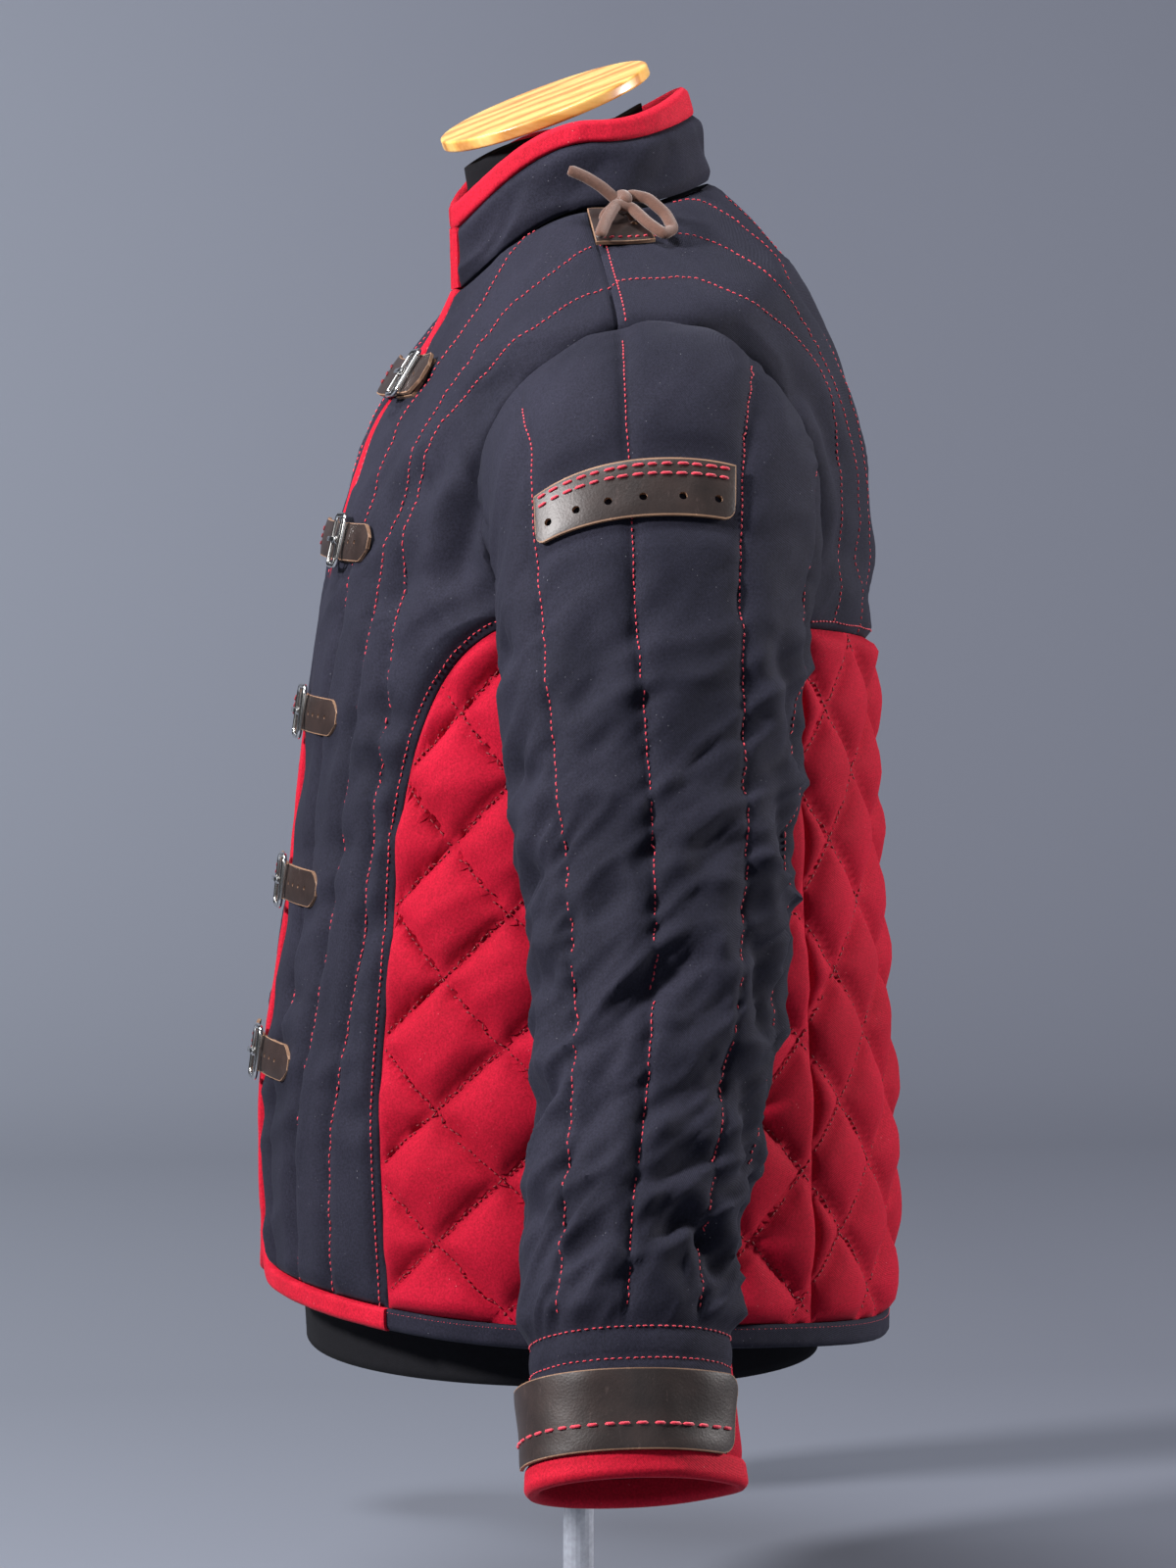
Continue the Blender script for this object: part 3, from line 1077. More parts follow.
FRONT_GRID, SIDE_GRID = front_grid(), side_grid()
for side, flip in SIDES:
    made = build(f"quilted_front_{side}", body, FRONT_GRID, DARK, right_relief if flip else front_relief,
                 mirrored=flip)
    cloth(made, "dark_cloth", f"front_{side}", cut=True)
    made = build(f"diamond_side_{side}", body, SIDE_GRID, RED, diamond_relief, mirrored=flip)
    cloth(made, "red_cloth", f"side_{side}", cut=True)
    edge = strip_between(*(edge_line(inset, PRINCESS_ARC, 50, 16, 150) for inset in (BIND_WIDTH, 0.0)), 12)
    stand_off = np.where(edge[..., 1] < 0.36, 0.0022, -0.0012) + np.where(edge[..., 1] > 0.585, 0.0024, 0.0)
    eased = np.apply_along_axis(lambda c: np.convolve(np.pad(c, 4, "edge"), np.ones(9) / 9, "valid"),
                                0, stand_off)
    stand_off = np.clip(eased, -0.0012, 0.0022)
    made = bound(f"edge_binding_{side}", body, edge, BINDING, mirrored=flip,
                 raised=stand_off * (0.4 if flip else 1.0))
    cloth(made, "red_cloth", f"front_binding_{side}")
made = build("diamond_back", body, lower_back_grid(), RED, diamond_relief)
cloth(made, "red_cloth", "lower_back", cut=True)
made = build("quilted_yoke", body, upper_back_grid(), DARK, back_relief)
cloth(made, "dark_cloth", "upper_back", cut=True)

hem_theta = np.linspace(princess_line(1)[0, 0], 2 * math.pi - princess_line(1)[0, 0], 240)
hem = strip_between(pair(hem_theta, LOW_LEVEL), pair(hem_theta, HEM_LEVEL), 12)
made = bound("dark_hem", body, hem[::-1], DARK)
cloth(made, "dark_cloth", "hem_binding")

COLLAR_TOP = COLLAR_RINGS[-1][0]
BIND_LEVEL = COLLAR_TOP - BIND_WIDTH * 0.95


def collar_angle(distance, level):
    theta = np.linspace(0, math.pi / 2, 200)
    ring = collar(theta, np.full(200, level))
    arc = np.concatenate([[0], np.cumsum(np.linalg.norm(np.diff(ring, axis=0), axis=1))])
    return float(np.interp(distance, arc, theta))


near_end, far_end = collar_angle(FRONT_GAP, BIND_LEVEL), collar_angle(0.012, BIND_LEVEL)
collar_theta = np.linspace(far_end, 2 * math.pi - far_end, 170)
collar_levels = np.linspace(COLLAR_RINGS[0][0], BIND_LEVEL, 24)
collar_grid = np.stack(np.meshgrid(collar_theta, collar_levels), -1)
made = build("folded_collar", collar, collar_grid, DARK, collar_relief)
cloth(made, "dark_cloth", "collar", cut=True)
around = np.linspace(near_end, 2 * math.pi - near_end, 180)
top_strip = strip_between(pair(around, BIND_LEVEL), pair(around, COLLAR_TOP), 12)
made = bound("collar_top_binding", collar, top_strip, BINDING)
cloth(made, "red_cloth", "collar_binding")
for side, flip in SIDES:
    levels = np.linspace(COLLAR_RINGS[0][0], BIND_LEVEL, 20)
    strip = strip_between(pair(far_end, levels), pair(near_end, levels), 9)
    made = bound(f"collar_front_binding_{side}", collar, strip[::-1], BINDING, mirrored=flip)
    cloth(made, "red_cloth", f"collar_edge_{side}")


# ---------------------------------------------------------------- sleeves
def sleeve_grid(starts, ends, reaches, columns):
    share = np.linspace(0, 1, columns)
    starts, ends = np.broadcast_to(starts, reaches.shape), np.broadcast_to(ends, reaches.shape)
    alpha = starts[:, None] * (1 - share) + ends[:, None] * share
    return pair(alpha, reaches[:, None])


LAST = SLEEVE_END - CUFF_BINDING
REACHES = np.concatenate([np.linspace(0, 0.05, 22)[:-1], np.linspace(0.05, LAST, 175)])
OPENING = np.clip((REACHES - GUSSET_START) / (LAST - GUSSET_START), 0, 1)
UPPER_GRID = sleeve_grid(BACK_SLEEVE_SEAM + GUSSET_AHEAD * OPENING - 2 * math.pi, FRONT_SLEEVE_SEAM,
                         REACHES, 104)
UNDER_GRID = sleeve_grid(FRONT_SLEEVE_SEAM, BACK_SLEEVE_SEAM - GUSSET_BEHIND * OPENING, REACHES, 56)
GUSSET_REACHES = np.linspace(GUSSET_START + 0.004, LAST, 34)
GUSSET_OPEN = (GUSSET_REACHES - GUSSET_START) / (LAST - GUSSET_START)
GUSSET_GRID = sleeve_grid(BACK_SLEEVE_SEAM - GUSSET_BEHIND * GUSSET_OPEN,
                          BACK_SLEEVE_SEAM + GUSSET_AHEAD * GUSSET_OPEN, GUSSET_REACHES, 14)
for side, flip in SIDES:
    made = build(f"upper_sleeve_{side}", sleeve, UPPER_GRID, DARK, sleeve_relief, mirrored=flip, sink=0.0020)
    cloth(made, "dark_cloth", f"sleeve_upper_{side}", cut=True)
    made = build(f"under_sleeve_{side}", sleeve, UNDER_GRID, DARK, under_relief, mirrored=flip, sink=0.0020)
    cloth(made, "dark_cloth", f"sleeve_under_{side}", cut=True)
    made = build(f"cuff_gusset_{side}", sleeve, GUSSET_GRID, RED, mirrored=flip)
    cloth(made, "red_cloth", f"sleeve_gusset_{side}")
    turn = np.linspace(0, 2 * math.pi, 129)[:-1]
    cuff = strip_between(pair(turn, LAST), pair(turn, SLEEVE_END), 12)
    u = cuff[..., 0].T
    v = cuff[..., 1].T
    base, normals = sleeve(u, v), outward(sleeve, u, v)
    share = np.linspace(0, 1, 12)[:, None]
    roll = 0.0026 * edge_roll(share)
    outer = base + normals * (0.0008 - roll - 0.0009 * np.exp(-share / 0.06))[..., None]
    inner = base + normals * (np.broadcast_to(-WALL - 0.0004 + roll, u.shape))[..., None]
    made = shell(f"cuff_edge_{side}", outer, inner, BINDING, flip, True)
    cloth(made, "red_cloth", f"cuff_binding_{side}")


# ---------------------------------------------------------------- leather
def leather_grid(u0, u1, columns, v_low, v_high, rows, radius, scale_u, round_low=False):
    """Grid between two long edges, with corners rounded at the high one or at both; u runs along."""
    length = (u1 - u0) * scale_u
    near_edge = np.array([0, 0.0007, 0.0016, 0.003, 0.0055])
    inner = np.linspace(0.009, length - 0.009, columns)
    along = np.concatenate([near_edge, inner, length - near_edge[::-1]])
    e = np.minimum(along, length - along)
    inset = radius - np.sqrt(np.maximum(radius ** 2 - np.clip(radius - e, 0, radius) ** 2, 0))
    low = np.broadcast_to(v_low, along.shape) + (inset if round_low else 0)
    height = v_high - inset - low
    rows_at = [np.zeros_like(height), 0.0007 / height] + [
        0.0016 / height + (1 - 0.0032 / height) * s for s in np.linspace(0, 1, rows)] + [
        1 - 0.0007 / height, np.ones_like(height)]
    v = np.array([low + height * s for s in rows_at])
    u = np.repeat((u0 + along / scale_u)[None], len(rows_at), 0)
    return pair(u, v)


def leather_relief(points, grid):
    return noise(points[:, 1] / 0.012, points[:, 2] / 0.014, 71) * 0.0004


def drill(obj, centres, normals, radius):
    """Round holes through leather, with pale cut sides."""
    cutter = bmesh.new()
    for centre, normal in zip(centres, normals):
        turn = Vector(normal).to_track_quat("Z", "Y").to_matrix().to_4x4()
        bmesh.ops.create_cone(cutter, cap_ends=True, segments=24, radius1=radius, radius2=radius, depth=0.020,
                              matrix=Matrix.Translation(centre) @ turn)
    for face in cutter.faces:
        face.material_index = 1
    data = bpy.data.meshes.new(obj.name + "_drill")
    cutter.to_mesh(data)
    cutter.free()
    data.materials.append(HIDE)
    data.materials.append(HIDE_EDGE)
    tool = placed(obj.name + "_drill", data)
    cut = obj.modifiers.new("holes", "BOOLEAN")
    cut.operation = "DIFFERENCE"
    cut.solver = "EXACT"
    cut.use_self = True
    cut.object = tool
    bpy.context.view_layer.update()
    done = bpy.data.meshes.new_from_object(obj.evaluated_get(bpy.context.evaluated_depsgraph_get()))
    obj.modifiers.clear()
    obj.data = done
    bpy.data.objects.remove(tool)


def leather(name, surface, grid, lift, mirrored=False):
    return build(name, surface, grid, HIDE, leather_relief, thick=LEATHER, lift=lift, sink=0.0006,
                 mirrored=mirrored, rim_mat=HIDE_EDGE, border=1)


strip_u = leather_grid(STRIP_BACK, STRIP_FRONT, 60, STRIP_REACH, STRIP_REACH + STRIP_HEIGHT, 14, 0.0060,
                       SLEEVE_SCALE)
flap_u = leather_grid(FLAP_BACK, FLAP_FRONT, 110, FLAP_TOP, FLAP_BOTTOM, 22, 0.010, CUFF_SCALE,
                      round_low=True)
flap_share = np.clip((flap_u[..., 1] - FLAP_TOP) / (FLAP_BOTTOM - FLAP_TOP), 0, 1)
flap_wave = 0.0010 * np.sin(flap_u[..., 0] * 3.1)
flap_lift = 0.0038 + 0.0052 * (1 - flap_share) ** 1.6 + flap_wave * (1 - flap_share)
HOLES = np.linspace(STRIP_BACK + 0.12, STRIP_FRONT - 0.12, 6)
HOLE_ROW = np.full(6, STRIP_REACH + STRIP_HEIGHT * 0.66)
for side, flip in SIDES:
    sign = MIRROR[flip]
    made = leather(f"holed_strip_{side}", sleeve, strip_u, LEATHER + 0.0028, flip)
    drill(made, sleeve(HOLES, HOLE_ROW) * sign, outward(sleeve, HOLES, HOLE_ROW) * sign, HOLE_RADIUS)
    leather_pieces.append(piece(made, "leather", f"arm_strip_{side}"))
    made = leather(f"cuff_band_{side}", sleeve, flap_u, flap_lift, flip)
    leather_pieces.append(piece(made, "leather", f"cuff_flap_{side}"))


def tab_point(across, out, lift=0.0):
    level = TAB_LEVEL - out * 0.52
    theta = TAB_ANGLE + across / TAB_SCALE
    point = body(theta, level)
    return point + outward(body, theta, level) * lift


tab_across = np.concatenate([[-0.0150, -0.0143], np.linspace(-0.0132, 0.0142, 14), [0.0153, 0.0160]])
tab_out = np.concatenate([[0.002, 0.0027], np.linspace(0.004, 0.038, 16), [0.0393, 0.040]])
tab_grid = np.stack(np.meshgrid(TAB_ANGLE + tab_across / TAB_SCALE, (TAB_LEVEL - tab_out * 0.52)[::-1]), -1)
for side, flip in SIDES:
    sign = MIRROR[flip]
    made = leather(f"lace_tab_{side}", body, tab_grid, LEATHER + 0.0024, flip)
    spots = [(-0.008, 0.022), (0.009, 0.022)]
    drill(made, [tab_point(*s) * sign for s in spots],
          [(tab_point(*s, lift=0.01) - tab_point(*s)) * sign for s in spots], HOLE_RADIUS)
    leather_pieces.append(piece(made, "leather", f"shoulder_tab_{side}"))


def front_level(height):
    levels = np.linspace(HEM_LEVEL, NECK_LEVEL, 400)
    return float(np.interp(height, body(np.zeros(400), levels)[:, 2] - HEM_Z, levels))


def strap_shape(height, start, end, half, columns, point):
    """Grid of a strap across the front whose end comes to a blunt point."""
    length = end - start
    near_edge = np.array([0, 0.0007, 0.0016, 0.003])
    along = np.concatenate([near_edge, np.linspace(0.005, length - point, columns),
                            length - point + point * np.array([0.25, 0.5, 0.7, 0.85, 0.94, 1.0])])
    span = np.ones(len(along))
    tail = along > length - point
    span[tail] = 1 - ((along[tail] - length + point) / point) ** 1.5 * 0.72
    low, high = front_level(height - half), front_level(height + half)
    rows_at = np.array([0, 0.03, 0.08, 0.2, 0.35, 0.5, 0.65, 0.8, 0.92, 0.97, 1.0])
    level = (low + high) / 2 + (rows_at[:, None] - 0.5) * (high - low) * span[None]
    distance = np.repeat((start + along)[None], len(rows_at), 0)
    theta = np.sign(distance) * angle_at(np.abs(distance), level)
    return pair(theta, level), distance


def bar_mesh(bm, size, spot, bevel):
    made = bmesh.ops.create_cube(bm, size=1, matrix=Matrix.Translation(spot) @ Matrix.Diagonal((*size, 1)))
    bmesh.ops.bevel(bm, geom=list({e for v in made["verts"] for e in v.link_edges}), offset=bevel, segments=2,
                    affect="EDGES", profile=0.6)


def buckle(number, height, across):
    """Rounded rectangular frame, centre bar and prong."""
    level = front_level(height)
    theta = float(angle_at(across, level))
    middle = Vector(body(theta, level))
    out = Vector(outward(body, theta, level))
    sideways = Vector(body(theta + 0.02, level) - body(theta - 0.02, level)).normalized()
    place = Matrix((sideways, out.cross(sideways), out)).transposed().to_4x4()
    place.translation = middle + out * (STRAP_LIFT + 0.0028)
    wide, high = FRAME_SIZE
    wire = FRAME_WIRE * 1.15
    bm = bmesh.new()
    r, ring = 0.0042, []
    for k, (sx, sy) in enumerate(((1, 1), (-1, 1), (-1, -1), (1, -1))):
        for step in range(7):
            turn = math.pi / 2 * (k + step / 6)
            ring.append(Vector((sx * (wide / 2 - r) + r * math.cos(turn),
                                sy * (high / 2 - r) + r * math.sin(turn), 0)))
    loops = []
    for i, spot in enumerate(ring):
        way = (ring[(i + 1) % len(ring)] - ring[i - 1]).normalized()
        aside = way.cross(Vector((0, 0, 1)))
        loops.append([bm.verts.new(spot + aside * math.cos(t) * wire
                                   + Vector((0, 0, math.sin(t) * wire * 0.9)))
                      for t in np.linspace(0, 2 * math.pi, 13)[:-1]])
    for a, b in zip(loops, loops[1:] + loops[:1]):
        for j in range(12):
            bm.faces.new((a[j], a[(j + 1) % 12], b[(j + 1) % 12], b[j]))
    bmesh.ops.recalc_face_normals(bm, faces=bm.faces)
    bar_mesh(bm, (wire * 1.9, high - wire, wire * 1.6), (0.003, 0, -0.0004), 0.0005)
    bar_mesh(bm, (wide * 0.74, wire * 1.9, wire * 1.5), (-0.0030, 0, wire * 1.55), 0.0006)
    bar_mesh(bm, (wire * 2.6, wire * 3.0, wire * 2.2), (0.003, 0, wire * 0.6), 0.0007)
    bmesh.ops.transform(bm, matrix=place, verts=bm.verts)
    piece(from_bmesh(f"nickel_buckle_{number}", bm, NICKEL, 50), "nickel", f"buckle_{number}")


strap_seams = []
for number, (height, across, tip) in enumerate(BUCKLE_ROWS, 1):
    grid, _ = strap_shape(height - 0.001, across - 0.008, across + 0.030, STRAP_HALF * 0.95, 14, 0.002)
    made = leather(f"under_strap_{number}", body, grid, CHAPE_LIFT + 0.0006)
    leather_pieces.append(piece(made, "leather", f"chape_{number}"))
    grid, distance = strap_shape(height, STRAP_START, across + tip, STRAP_HALF, 56, 0.010)
    over = np.exp(-((distance - across - 0.003) / 0.0045) ** 2) * 0.0016
    made = leather(f"buckled_strap_{number}", body, grid, STRAP_LIFT + 0.0006 + over)
    spots = np.arange(across + 0.018, across + tip - 0.012, 0.012)
    spots = np.concatenate([spots, [across - 0.016, across - 0.028]])
    levels = np.full(len(spots), front_level(height))
    angles = np.sign(spots) * angle_at(np.abs(spots), levels)
    drill(made, body(angles, levels), outward(body, angles, levels), 0.0012)
    leather_pieces.append(piece(made, "leather", f"strap_{number}"))
    buckle(number, height, across)
    low, high = front_level(height - STRAP_HALF * 0.6), front_level(height + STRAP_HALF * 0.6)
    for shift in (0.006, 0.022):
        ends = np.array([[STRAP_START + shift, low], [STRAP_START + shift, high]])
        theta = np.sign(ends[:, 0]) * angle_at(np.abs(ends[:, 0]), ends[:, 1])
        strap_seams.append(body(theta, ends[:, 1]) + outward(body, theta, ends[:, 1]) * 0.012)


# ---------------------------------------------------------------- laces
def lace_route(rows, count):
    """Smoothed line over the tab through rows of across, out and lift."""
    along = np.arange(len(rows)).astype(float)
    fine = np.linspace(0, len(rows) - 1, count)
    spots = np.stack([np.interp(fine, along, [row[k] for row in rows]) for k in range(3)], -1)
    for _ in range(3):
        spots[1:-1] = (spots[:-2] + 2 * spots[1:-1] + spots[2:]) / 4
    return np.array([tab_point(*spot) for spot in spots])


def tube(name, points, wide, high, mat, sides=14):
    """Slightly flattened tube with rounded ends through a line of points."""
    points = np.asarray(points)
    way = np.gradient(points, axis=0)
    way /= np.linalg.norm(way, axis=1, keepdims=True)
    aside = np.cross(way, [0.92 * math.copysign(1, points[0, 0]), -0.1, 0.38])
    aside /= np.linalg.norm(aside, axis=1, keepdims=True)
    up = np.cross(aside, way)
    turn = np.linspace(0, 2 * math.pi, sides + 1)[:-1]
    size = np.ones(len(points))
    size[[0, -1]], size[[1, -2]] = 0.72, 0.93
    rings = points[:, None] + (aside[:, None] * np.cos(turn)[:, None] * wide
                               + up[:, None] * np.sin(turn)[:, None] * high) * size[:, None, None]
    return loft(name, rings, mat)


def knot(name, centre, sign):
    """Overhand knot: a short turn of lace round the crossing."""
    turns = np.linspace(0, 2 * math.pi, 40)
    axis = np.array([tab_point(0.006, 0.012, 0.012) - tab_point(-0.006, 0.012, 0.012)])[0]
    axis /= np.linalg.norm(axis)
    side = np.cross(axis, [0, 0, 1.0])
    side /= np.linalg.norm(side)
    up = np.cross(side, axis)
    wobble = np.sin(turns * 2)[:, None] * axis * 0.0012
    ring = centre + side * np.cos(turns)[:, None] * 0.0058 + up * np.sin(turns)[:, None] * 0.0046 + wobble
    return tube(name, ring * sign, LACE_WIDTH * 0.62, LACE_WIDTH * 0.38, SUEDE)


for side, flip in SIDES:
    sign = MIRROR[flip]
    piece(knot(f"lace_knot_{side}", tab_point(*KNOT), sign), "suede", f"lace_{side}")
    for word, rows, count in (("bow", BOW_ROWS, 90), ("end", END_ROWS, 44)):
        route = lace_route(rows, count) * sign
        made = tube(f"lace_{word}_{side}", route, LACE_WIDTH / 2 * 1.22, LACE_WIDTH / 2 * 0.72, SUEDE)
        piece(made, "suede", f"lace_{side}")


# ---------------------------------------------------------------- dress form and stand
form_theta = np.linspace(0, 2 * math.pi, 121)[:-1]
form_levels = np.linspace(FORM_RINGS[0][0], FORM_RINGS[-1][0], 150)
piece(loft("black_form", form(*np.meshgrid(form_theta, form_levels)), FORM), "form_cloth", "form_torso")

cap_place = (Matrix.Translation((CAP_CENTRE[0], CAP_CENTRE[1], CAP_CENTRE[2] + HEM_Z))
             @ Matrix.Rotation(CAP_TILT_SIDE, 4, "Y") @ Matrix.Rotation(CAP_TILT_FORWARD, 4, "X"))
bm = bmesh.new()
bmesh.ops.create_cone(bm, cap_ends=True, segments=96, radius1=CAP_RADIUS, radius2=CAP_RADIUS, depth=CAP_THICK)
bmesh.ops.bevel(bm, geom=[e for e in bm.edges if len(e.link_faces) == 2 and e.calc_face_angle() > 1.2],
                offset=0.0018, segments=4, affect="EDGES", profile=0.6)
bmesh.ops.transform(bm, matrix=cap_place, verts=bm.verts)
piece(from_bmesh("neck_cap", bm, WOOD, 40), "varnished_wood", "form_cap")
for name in ("form_pole", "form_base"):
    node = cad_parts[name]
    node.data.materials.clear()
    node.data.materials.append(STAND)


# ---------------------------------------------------------------- stitching
def surface_tree(objects):
    verts, faces = [], []
    for obj in objects:
        shift = len(verts)
        verts += [v.co for v in obj.data.vertices]
        faces += [[i + shift for i in p.vertices] for p in obj.data.polygons]
    return BVHTree.FromPolygons(verts, faces)


def along_line(line, pitch):
    reach = np.concatenate([[0], np.cumsum(np.linalg.norm(np.diff(line, axis=0), axis=1))])
    count = max(2, int(reach[-1] / pitch))
    at = (np.arange(count) + 0.5) * reach[-1] / count

    def spot(s):
        return np.stack([np.interp(s, reach, line[:, k]) for k in range(3)], -1)
    return at, spot


THREAD_SIDES = 5


def stitches(name, lines, tree, mat, slot, pitch=0.0038, length=0.0029, radius=0.00046, reach=0.02,
             height=0.9):
    """Joined mesh of thread: each stitch bulges out of the cloth and dives in at both ends."""
    rng = np.random.RandomState(len(name) * 7 + len(lines))
    verts, faces = [], []
    turn = np.linspace(0, 2 * math.pi, THREAD_SIDES + 1)[:-1]
    for line in lines:
        at, spot = along_line(np.asarray(line), pitch)
        for s in at + rng.uniform(-0.08, 0.08, len(at)) * pitch:
            size = length * rng.uniform(0.88, 1.08)
            ends = [Vector(spot(s + size * k)) for k in (-0.5, 0.0, 0.5)]
            hits = [tree.find_nearest(p, reach) for p in ends]
            if any(h[0] is None for h in hits):
                continue
            a, mid, b = (h[0] for h in hits)
            normal = hits[1][1]
            way = b - a
            if way.length < size * 0.4 or way.length > size * 1.7:
                continue
            way.normalize()
            aside = way.cross(normal).normalized()
            shift = len(verts)
            verts.append(a - normal * radius * 0.7)
            for share, swell in ((0.25, 0.9), (0.75, 0.9)):
                centre = a.lerp(b, share) * 0.5 + (a.lerp(mid, share * 2) if share < 0.5
                                                   else mid.lerp(b, share * 2 - 1)) * 0.5
                centre = centre + normal * radius * height
                for t in turn:
                    verts.append(centre + (aside * math.cos(t) + normal * math.sin(t)) * radius * swell)
            verts.append(b - normal * radius * 0.7)
            first, second = shift + 1, shift + 1 + THREAD_SIDES
            for j in range(THREAD_SIDES):
                k = (j + 1) % THREAD_SIDES
                faces.append((shift, first + k, first + j))
                faces.append((first + j, first + k, second + k, second + j))
                faces.append((second + j, second + k, second + THREAD_SIDES))
    piece(placed(name, smooth_mesh(name, [tuple(v) for v in verts], faces, mat)), slot)


def above(surface, line, lift=0.010):
    """A line lifted off a surface, so that the nearest cloth or leather is the outermost."""
    return on(surface, line) + outward(surface, line[:, 0], line[:, 1]) * lift


def beside(surface, line, gap):
    """A line moved sideways over a surface by a gap; positive is to the right of its way."""
    points = on(surface, line)
    way = np.gradient(points, axis=0)
    normal = outward(surface, line[:, 0], line[:, 1])
    aside = np.cross(way, normal)
    aside /= np.linalg.norm(aside, axis=1, keepdims=True)
    return points + aside * gap


def inside_panel(grid, theta, level):
    """True where a point lies within a panel's outline."""
    edge = np.vstack([grid[0], grid[1:, -1], grid[-1, -2::-1], grid[-2:0:-1, 0]])
    within = False
    for (x1, y1), (x2, y2) in zip(edge, np.roll(edge, -1, 0)):
        if (y1 > level) != (y2 > level) and theta < (x2 - x1) * (level - y1) / (y2 - y1) + x1:
            within = not within
    return within


def diamond_lines(grid):
    """The lattice's lines within a panel, as lines in space."""
    found = []
    lo, hi = grid[..., 0].min(), grid[..., 0].max()
    theta = np.linspace(lo, hi, 90)
    for family in (0, 1):
        step = lattice(theta, np.full(90, DIAMOND_BASE))[0]
        for k in range(-14, 28, 2):
            w = (k - step) if family == 0 else (step - k)
            height = DIAMOND_BASE + w * DIAMOND_RISE
            run = []
            for t, z in zip(theta, height):
                ok = -0.02 < z < 0.45
                if ok:
                    level = level_at(t, z)
                    ok = LOW_LEVEL + 0.002 < level and inside_panel(grid, t, level)
                if ok:
                    run.append(body(t, level))
                else:
                    if len(run) > 2:
                        found.append(np.array(run))
                    run = []
            if len(run) > 2:
                found.append(np.array(run))
    return found


def both(lines):
    """The lines and their mirror images on the other side."""
    lines = [np.asarray(line) for line in lines]
    return lines + [mirror_points(line) for line in lines]


body_tree = surface_tree([p for p in cloth_pieces if "sleeve" not in p.name and "cuff" not in p.name])
sleeve_tree = surface_tree([p for p in cloth_pieces if "sleeve" in p.name or "cuff" in p.name])
leather_tree = surface_tree(leather_pieces)

seam_line = join(princess_line(60), arch_line(40))
edge_inset = edge_line(BIND_WIDTH + 0.0035, PRINCESS_ARC, 50, 16, 150)
shoulder = shoulder_line(30)[2:-8]
dark_lines = [beside(body, seam_line[:-2], -0.0050), on(body, edge_inset[52:-3]),
              beside(body, shoulder, 0.0045)]
dark_lines += [on(body, line) for line in FRONT_LINES + BACK_LINES]
dark_lines.append(beside(body, join(yoke_side_line(10), yoke_back_line(50))[2:-1], -0.0050))
stitches("topstitching_body", both(dark_lines), body_tree, THREAD, "red_cloth")
hem_top = pair(hem_theta, LOW_LEVEL - 0.0022)
stitches("topstitching_hem", [on(body, hem_top)], body_tree, THREAD, "red_cloth")
diamonds = both(diamond_lines(SIDE_GRID)) + diamond_lines(lower_back_grid())
stitches("topstitching_diamonds", diamonds, body_tree, DEEP_THREAD, "red_cloth", radius=0.00055)
sleeve_rows = [on(sleeve, line[1:-1]) for line in SLEEVE_LINES + UNDER_LINES]
for row in CUFF_ROWS:
    part_open = (row - GUSSET_START) / (LAST - GUSSET_START)
    turns = np.linspace(BACK_SLEEVE_SEAM + GUSSET_AHEAD * part_open - 2 * math.pi + 0.03,
                        BACK_SLEEVE_SEAM - GUSSET_BEHIND * part_open - 0.03, 120)
    sleeve_rows.append(on(sleeve, pair(turns, row)))
stitches("topstitching_sleeves", both(sleeve_rows), sleeve_tree, THREAD, "red_cloth")
heavy = [above(sleeve, pair(np.linspace(STRIP_BACK + 0.03, STRIP_FRONT - 0.03, 60), row))
         for row in (STRIP_REACH + 0.0022, STRIP_REACH + 0.0058)]
stitches("strip_stitching", both(heavy), leather_tree, THREAD, "red_cloth", pitch=0.0080, length=0.0079,
         radius=0.0010, height=0.45)
flap_row = pair(np.linspace(FLAP_BACK + 0.06, FLAP_FRONT - 0.06, 90), FLAP_BOTTOM - 0.0125)
stitches("cuff_stitching", both([above(sleeve, flap_row)]), leather_tree, THREAD, "red_cloth", pitch=0.0088,
         length=0.0085, radius=0.0010, height=0.45)
tab_row = np.array([tab_point(a, 0.0368, 0.010) for a in np.linspace(-0.0125, 0.0135, 12)])
stitches("tab_stitching", both([tab_row]), leather_tree, THREAD, "red_cloth", pitch=0.0043, length=0.0036,
         radius=0.0007, height=0.35)
stitches("strap_stitching", strap_seams, leather_tree, DEEP_THREAD, "red_cloth", pitch=0.004, length=0.0032,
         radius=0.0005)

# ---------------------------------------------------------------- cuts of the cloth
for obj in cut_pieces:
    box = np.array([v.co for v in obj.data.vertices])
    size = box.max(0) - box.min(0)

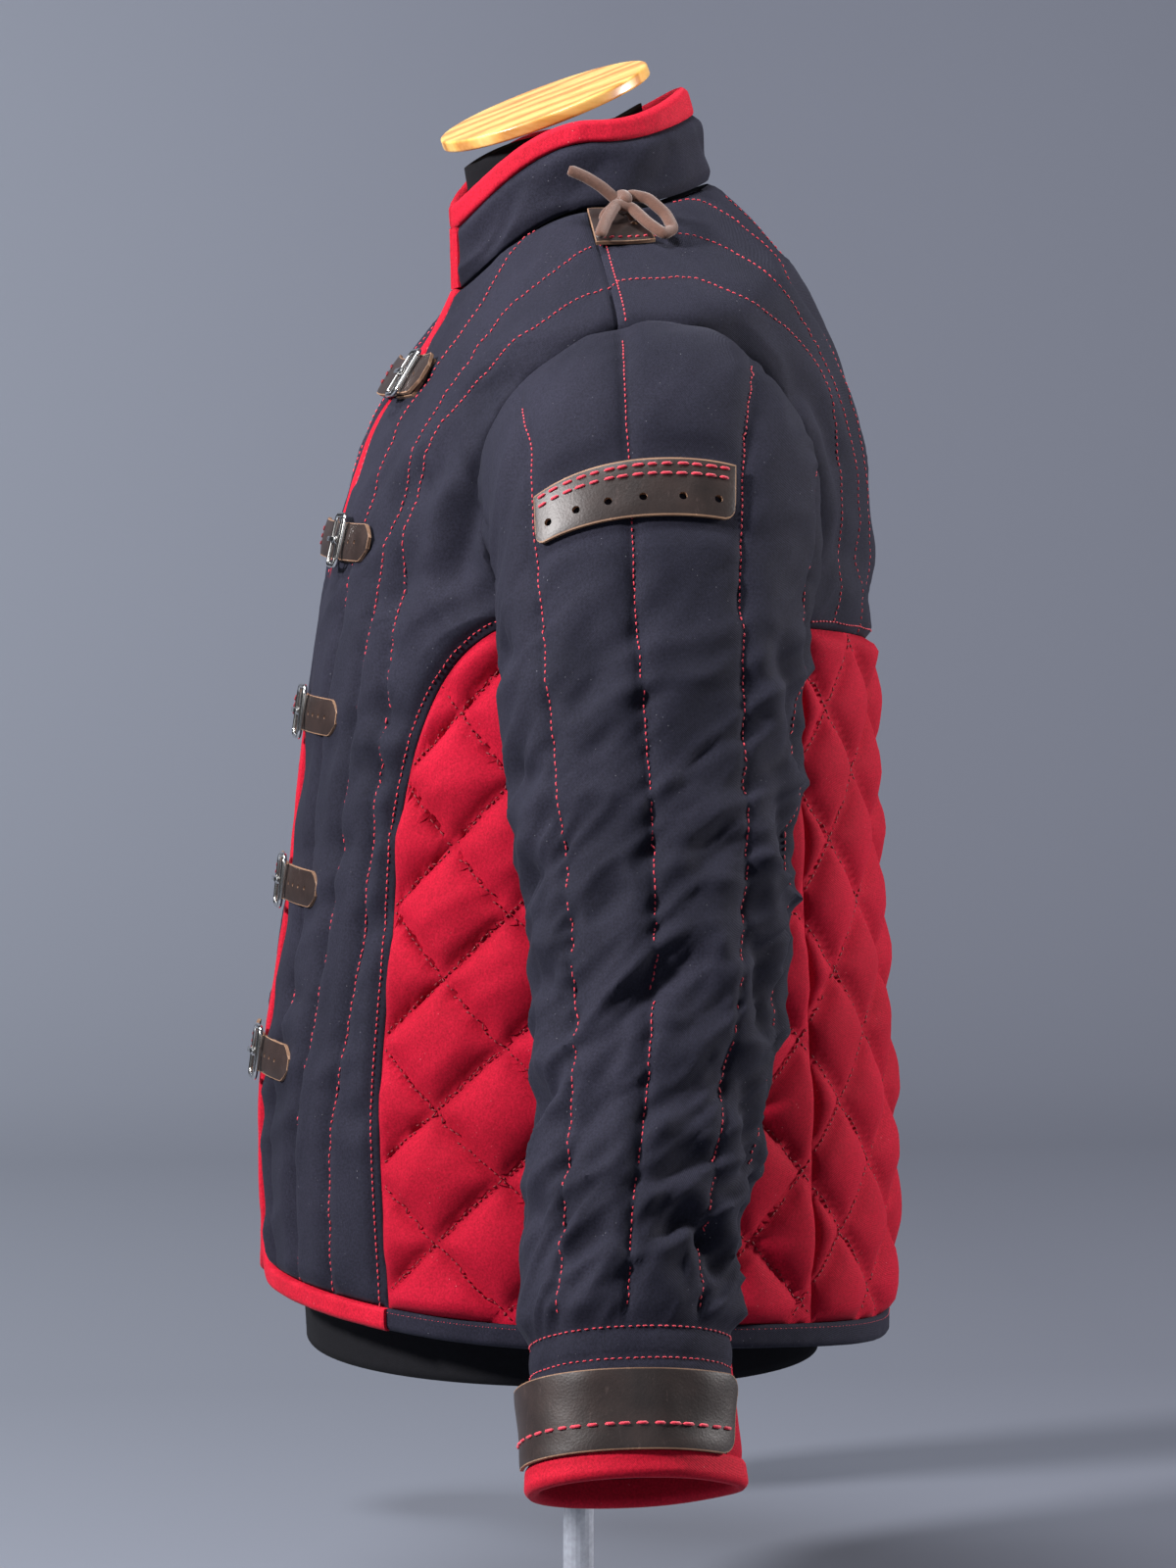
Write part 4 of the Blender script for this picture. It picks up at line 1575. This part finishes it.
# ---------------------------------------------------------------- studio
def backdrop_material(name, left, right):
    """Plain paper that darkens from the garment's front side to its back, and is paler farther off."""
    m = Nodes(name)

    def gradient(scale, turn, shift):
        place = m.tree.nodes.new("ShaderNodeMapping")
        m.link(m.place, place.inputs["Vector"])
        for key, value in (("Scale", scale), ("Rotation", turn), ("Location", shift)):
            place.inputs[key].default_value = value
        fade = m.tree.nodes.new("ShaderNodeTexGradient")
        m.link(place.outputs["Vector"], fade.inputs["Vector"])
        return fade.outputs["Fac"]

    across = gradient((0.6, 0.6, 0.6), (0, 0, -math.pi / 2), (0.5, 0, 0))
    depth = gradient((-0.25, 0.0, 0.0), (0, 0, 0), (0, 0, 0))
    paper = m.ramp(across, (0.15, left), (0.85, right))
    m.color(m.mix(1.0, paper, m.ramp(depth, (0.25, 0.50), (0.50, 0.68), (0.95, 1.0)), "MULTIPLY"))
    m.set(Roughness=1.0, Specular_IOR_Level=0.0)
    return m.mat


FLOOR_FRONT, BEND_START, BEND_RADIUS, WALL_TOP = 5.6, -2.3, 1.6, 6.0
floor_sides, wall_sides = (-8.0, 8.0), (-1.0, 2.0)  # the wall is narrow so that other views look past it
profile = [(FLOOR_FRONT, 0.0), (BEND_START, 0.0)]
profile += [(BEND_START - BEND_RADIUS * math.sin(t), BEND_RADIUS - BEND_RADIUS * math.cos(t))
            for t in np.linspace(0.1, math.pi / 2, 16)]
profile.append((BEND_START - BEND_RADIUS, WALL_TOP))
verts = [(x, (floor_sides if z == 0 else wall_sides)[side], z) for side in (0, 1) for x, z in profile]
count = len(profile)
faces = [(i, i + 1, i + 1 + count, i + count) for i in range(count - 1)]
paper = backdrop_material("backdrop_look", (0.354, 0.387, 0.460), (0.262, 0.282, 0.346))
placed("backdrop", smooth_mesh("backdrop", verts, faces, paper))

world = bpy.data.worlds.new("studio")
world.use_nodes = True
sky = world.node_tree.nodes["Background"].inputs
sky["Color"].default_value, sky["Strength"].default_value = (0.62, 0.68, 0.80, 1), 0.025
bpy.context.scene.world = world

LIGHTS = (
    ("key", (1.25, -2.8, 2.2), 0.5, 215, (1.0, 0.98, 0.98)),
    ("fill", (3.4, 0.4, 1.3), 1.6, 9, (0.90, 0.94, 1.0)),
    ("rim", (0.1, 2.6, 1.3), 0.6, 85, (1.0, 0.97, 0.97)),
    ("top", (0.5, -0.4, 2.9), 0.7, 48, (0.95, 0.97, 1.0)),
    ("backdrop_wash", (-0.7, -1.6, 2.6), 1.2, 26, (0.94, 0.96, 1.0)),
)
for name, spot, size, power, tint in LIGHTS:
    lamp = bpy.data.lights.new(name, "AREA")
    lamp.shape, lamp.size, lamp.energy, lamp.color = "DISK", size, power, tint
    holder = placed(name, lamp)
    holder.location = spot
    holder.rotation_euler = (Vector((0, 0, HEM_Z + 0.35)) - Vector(spot)).to_track_quat("-Z", "Y").to_euler()
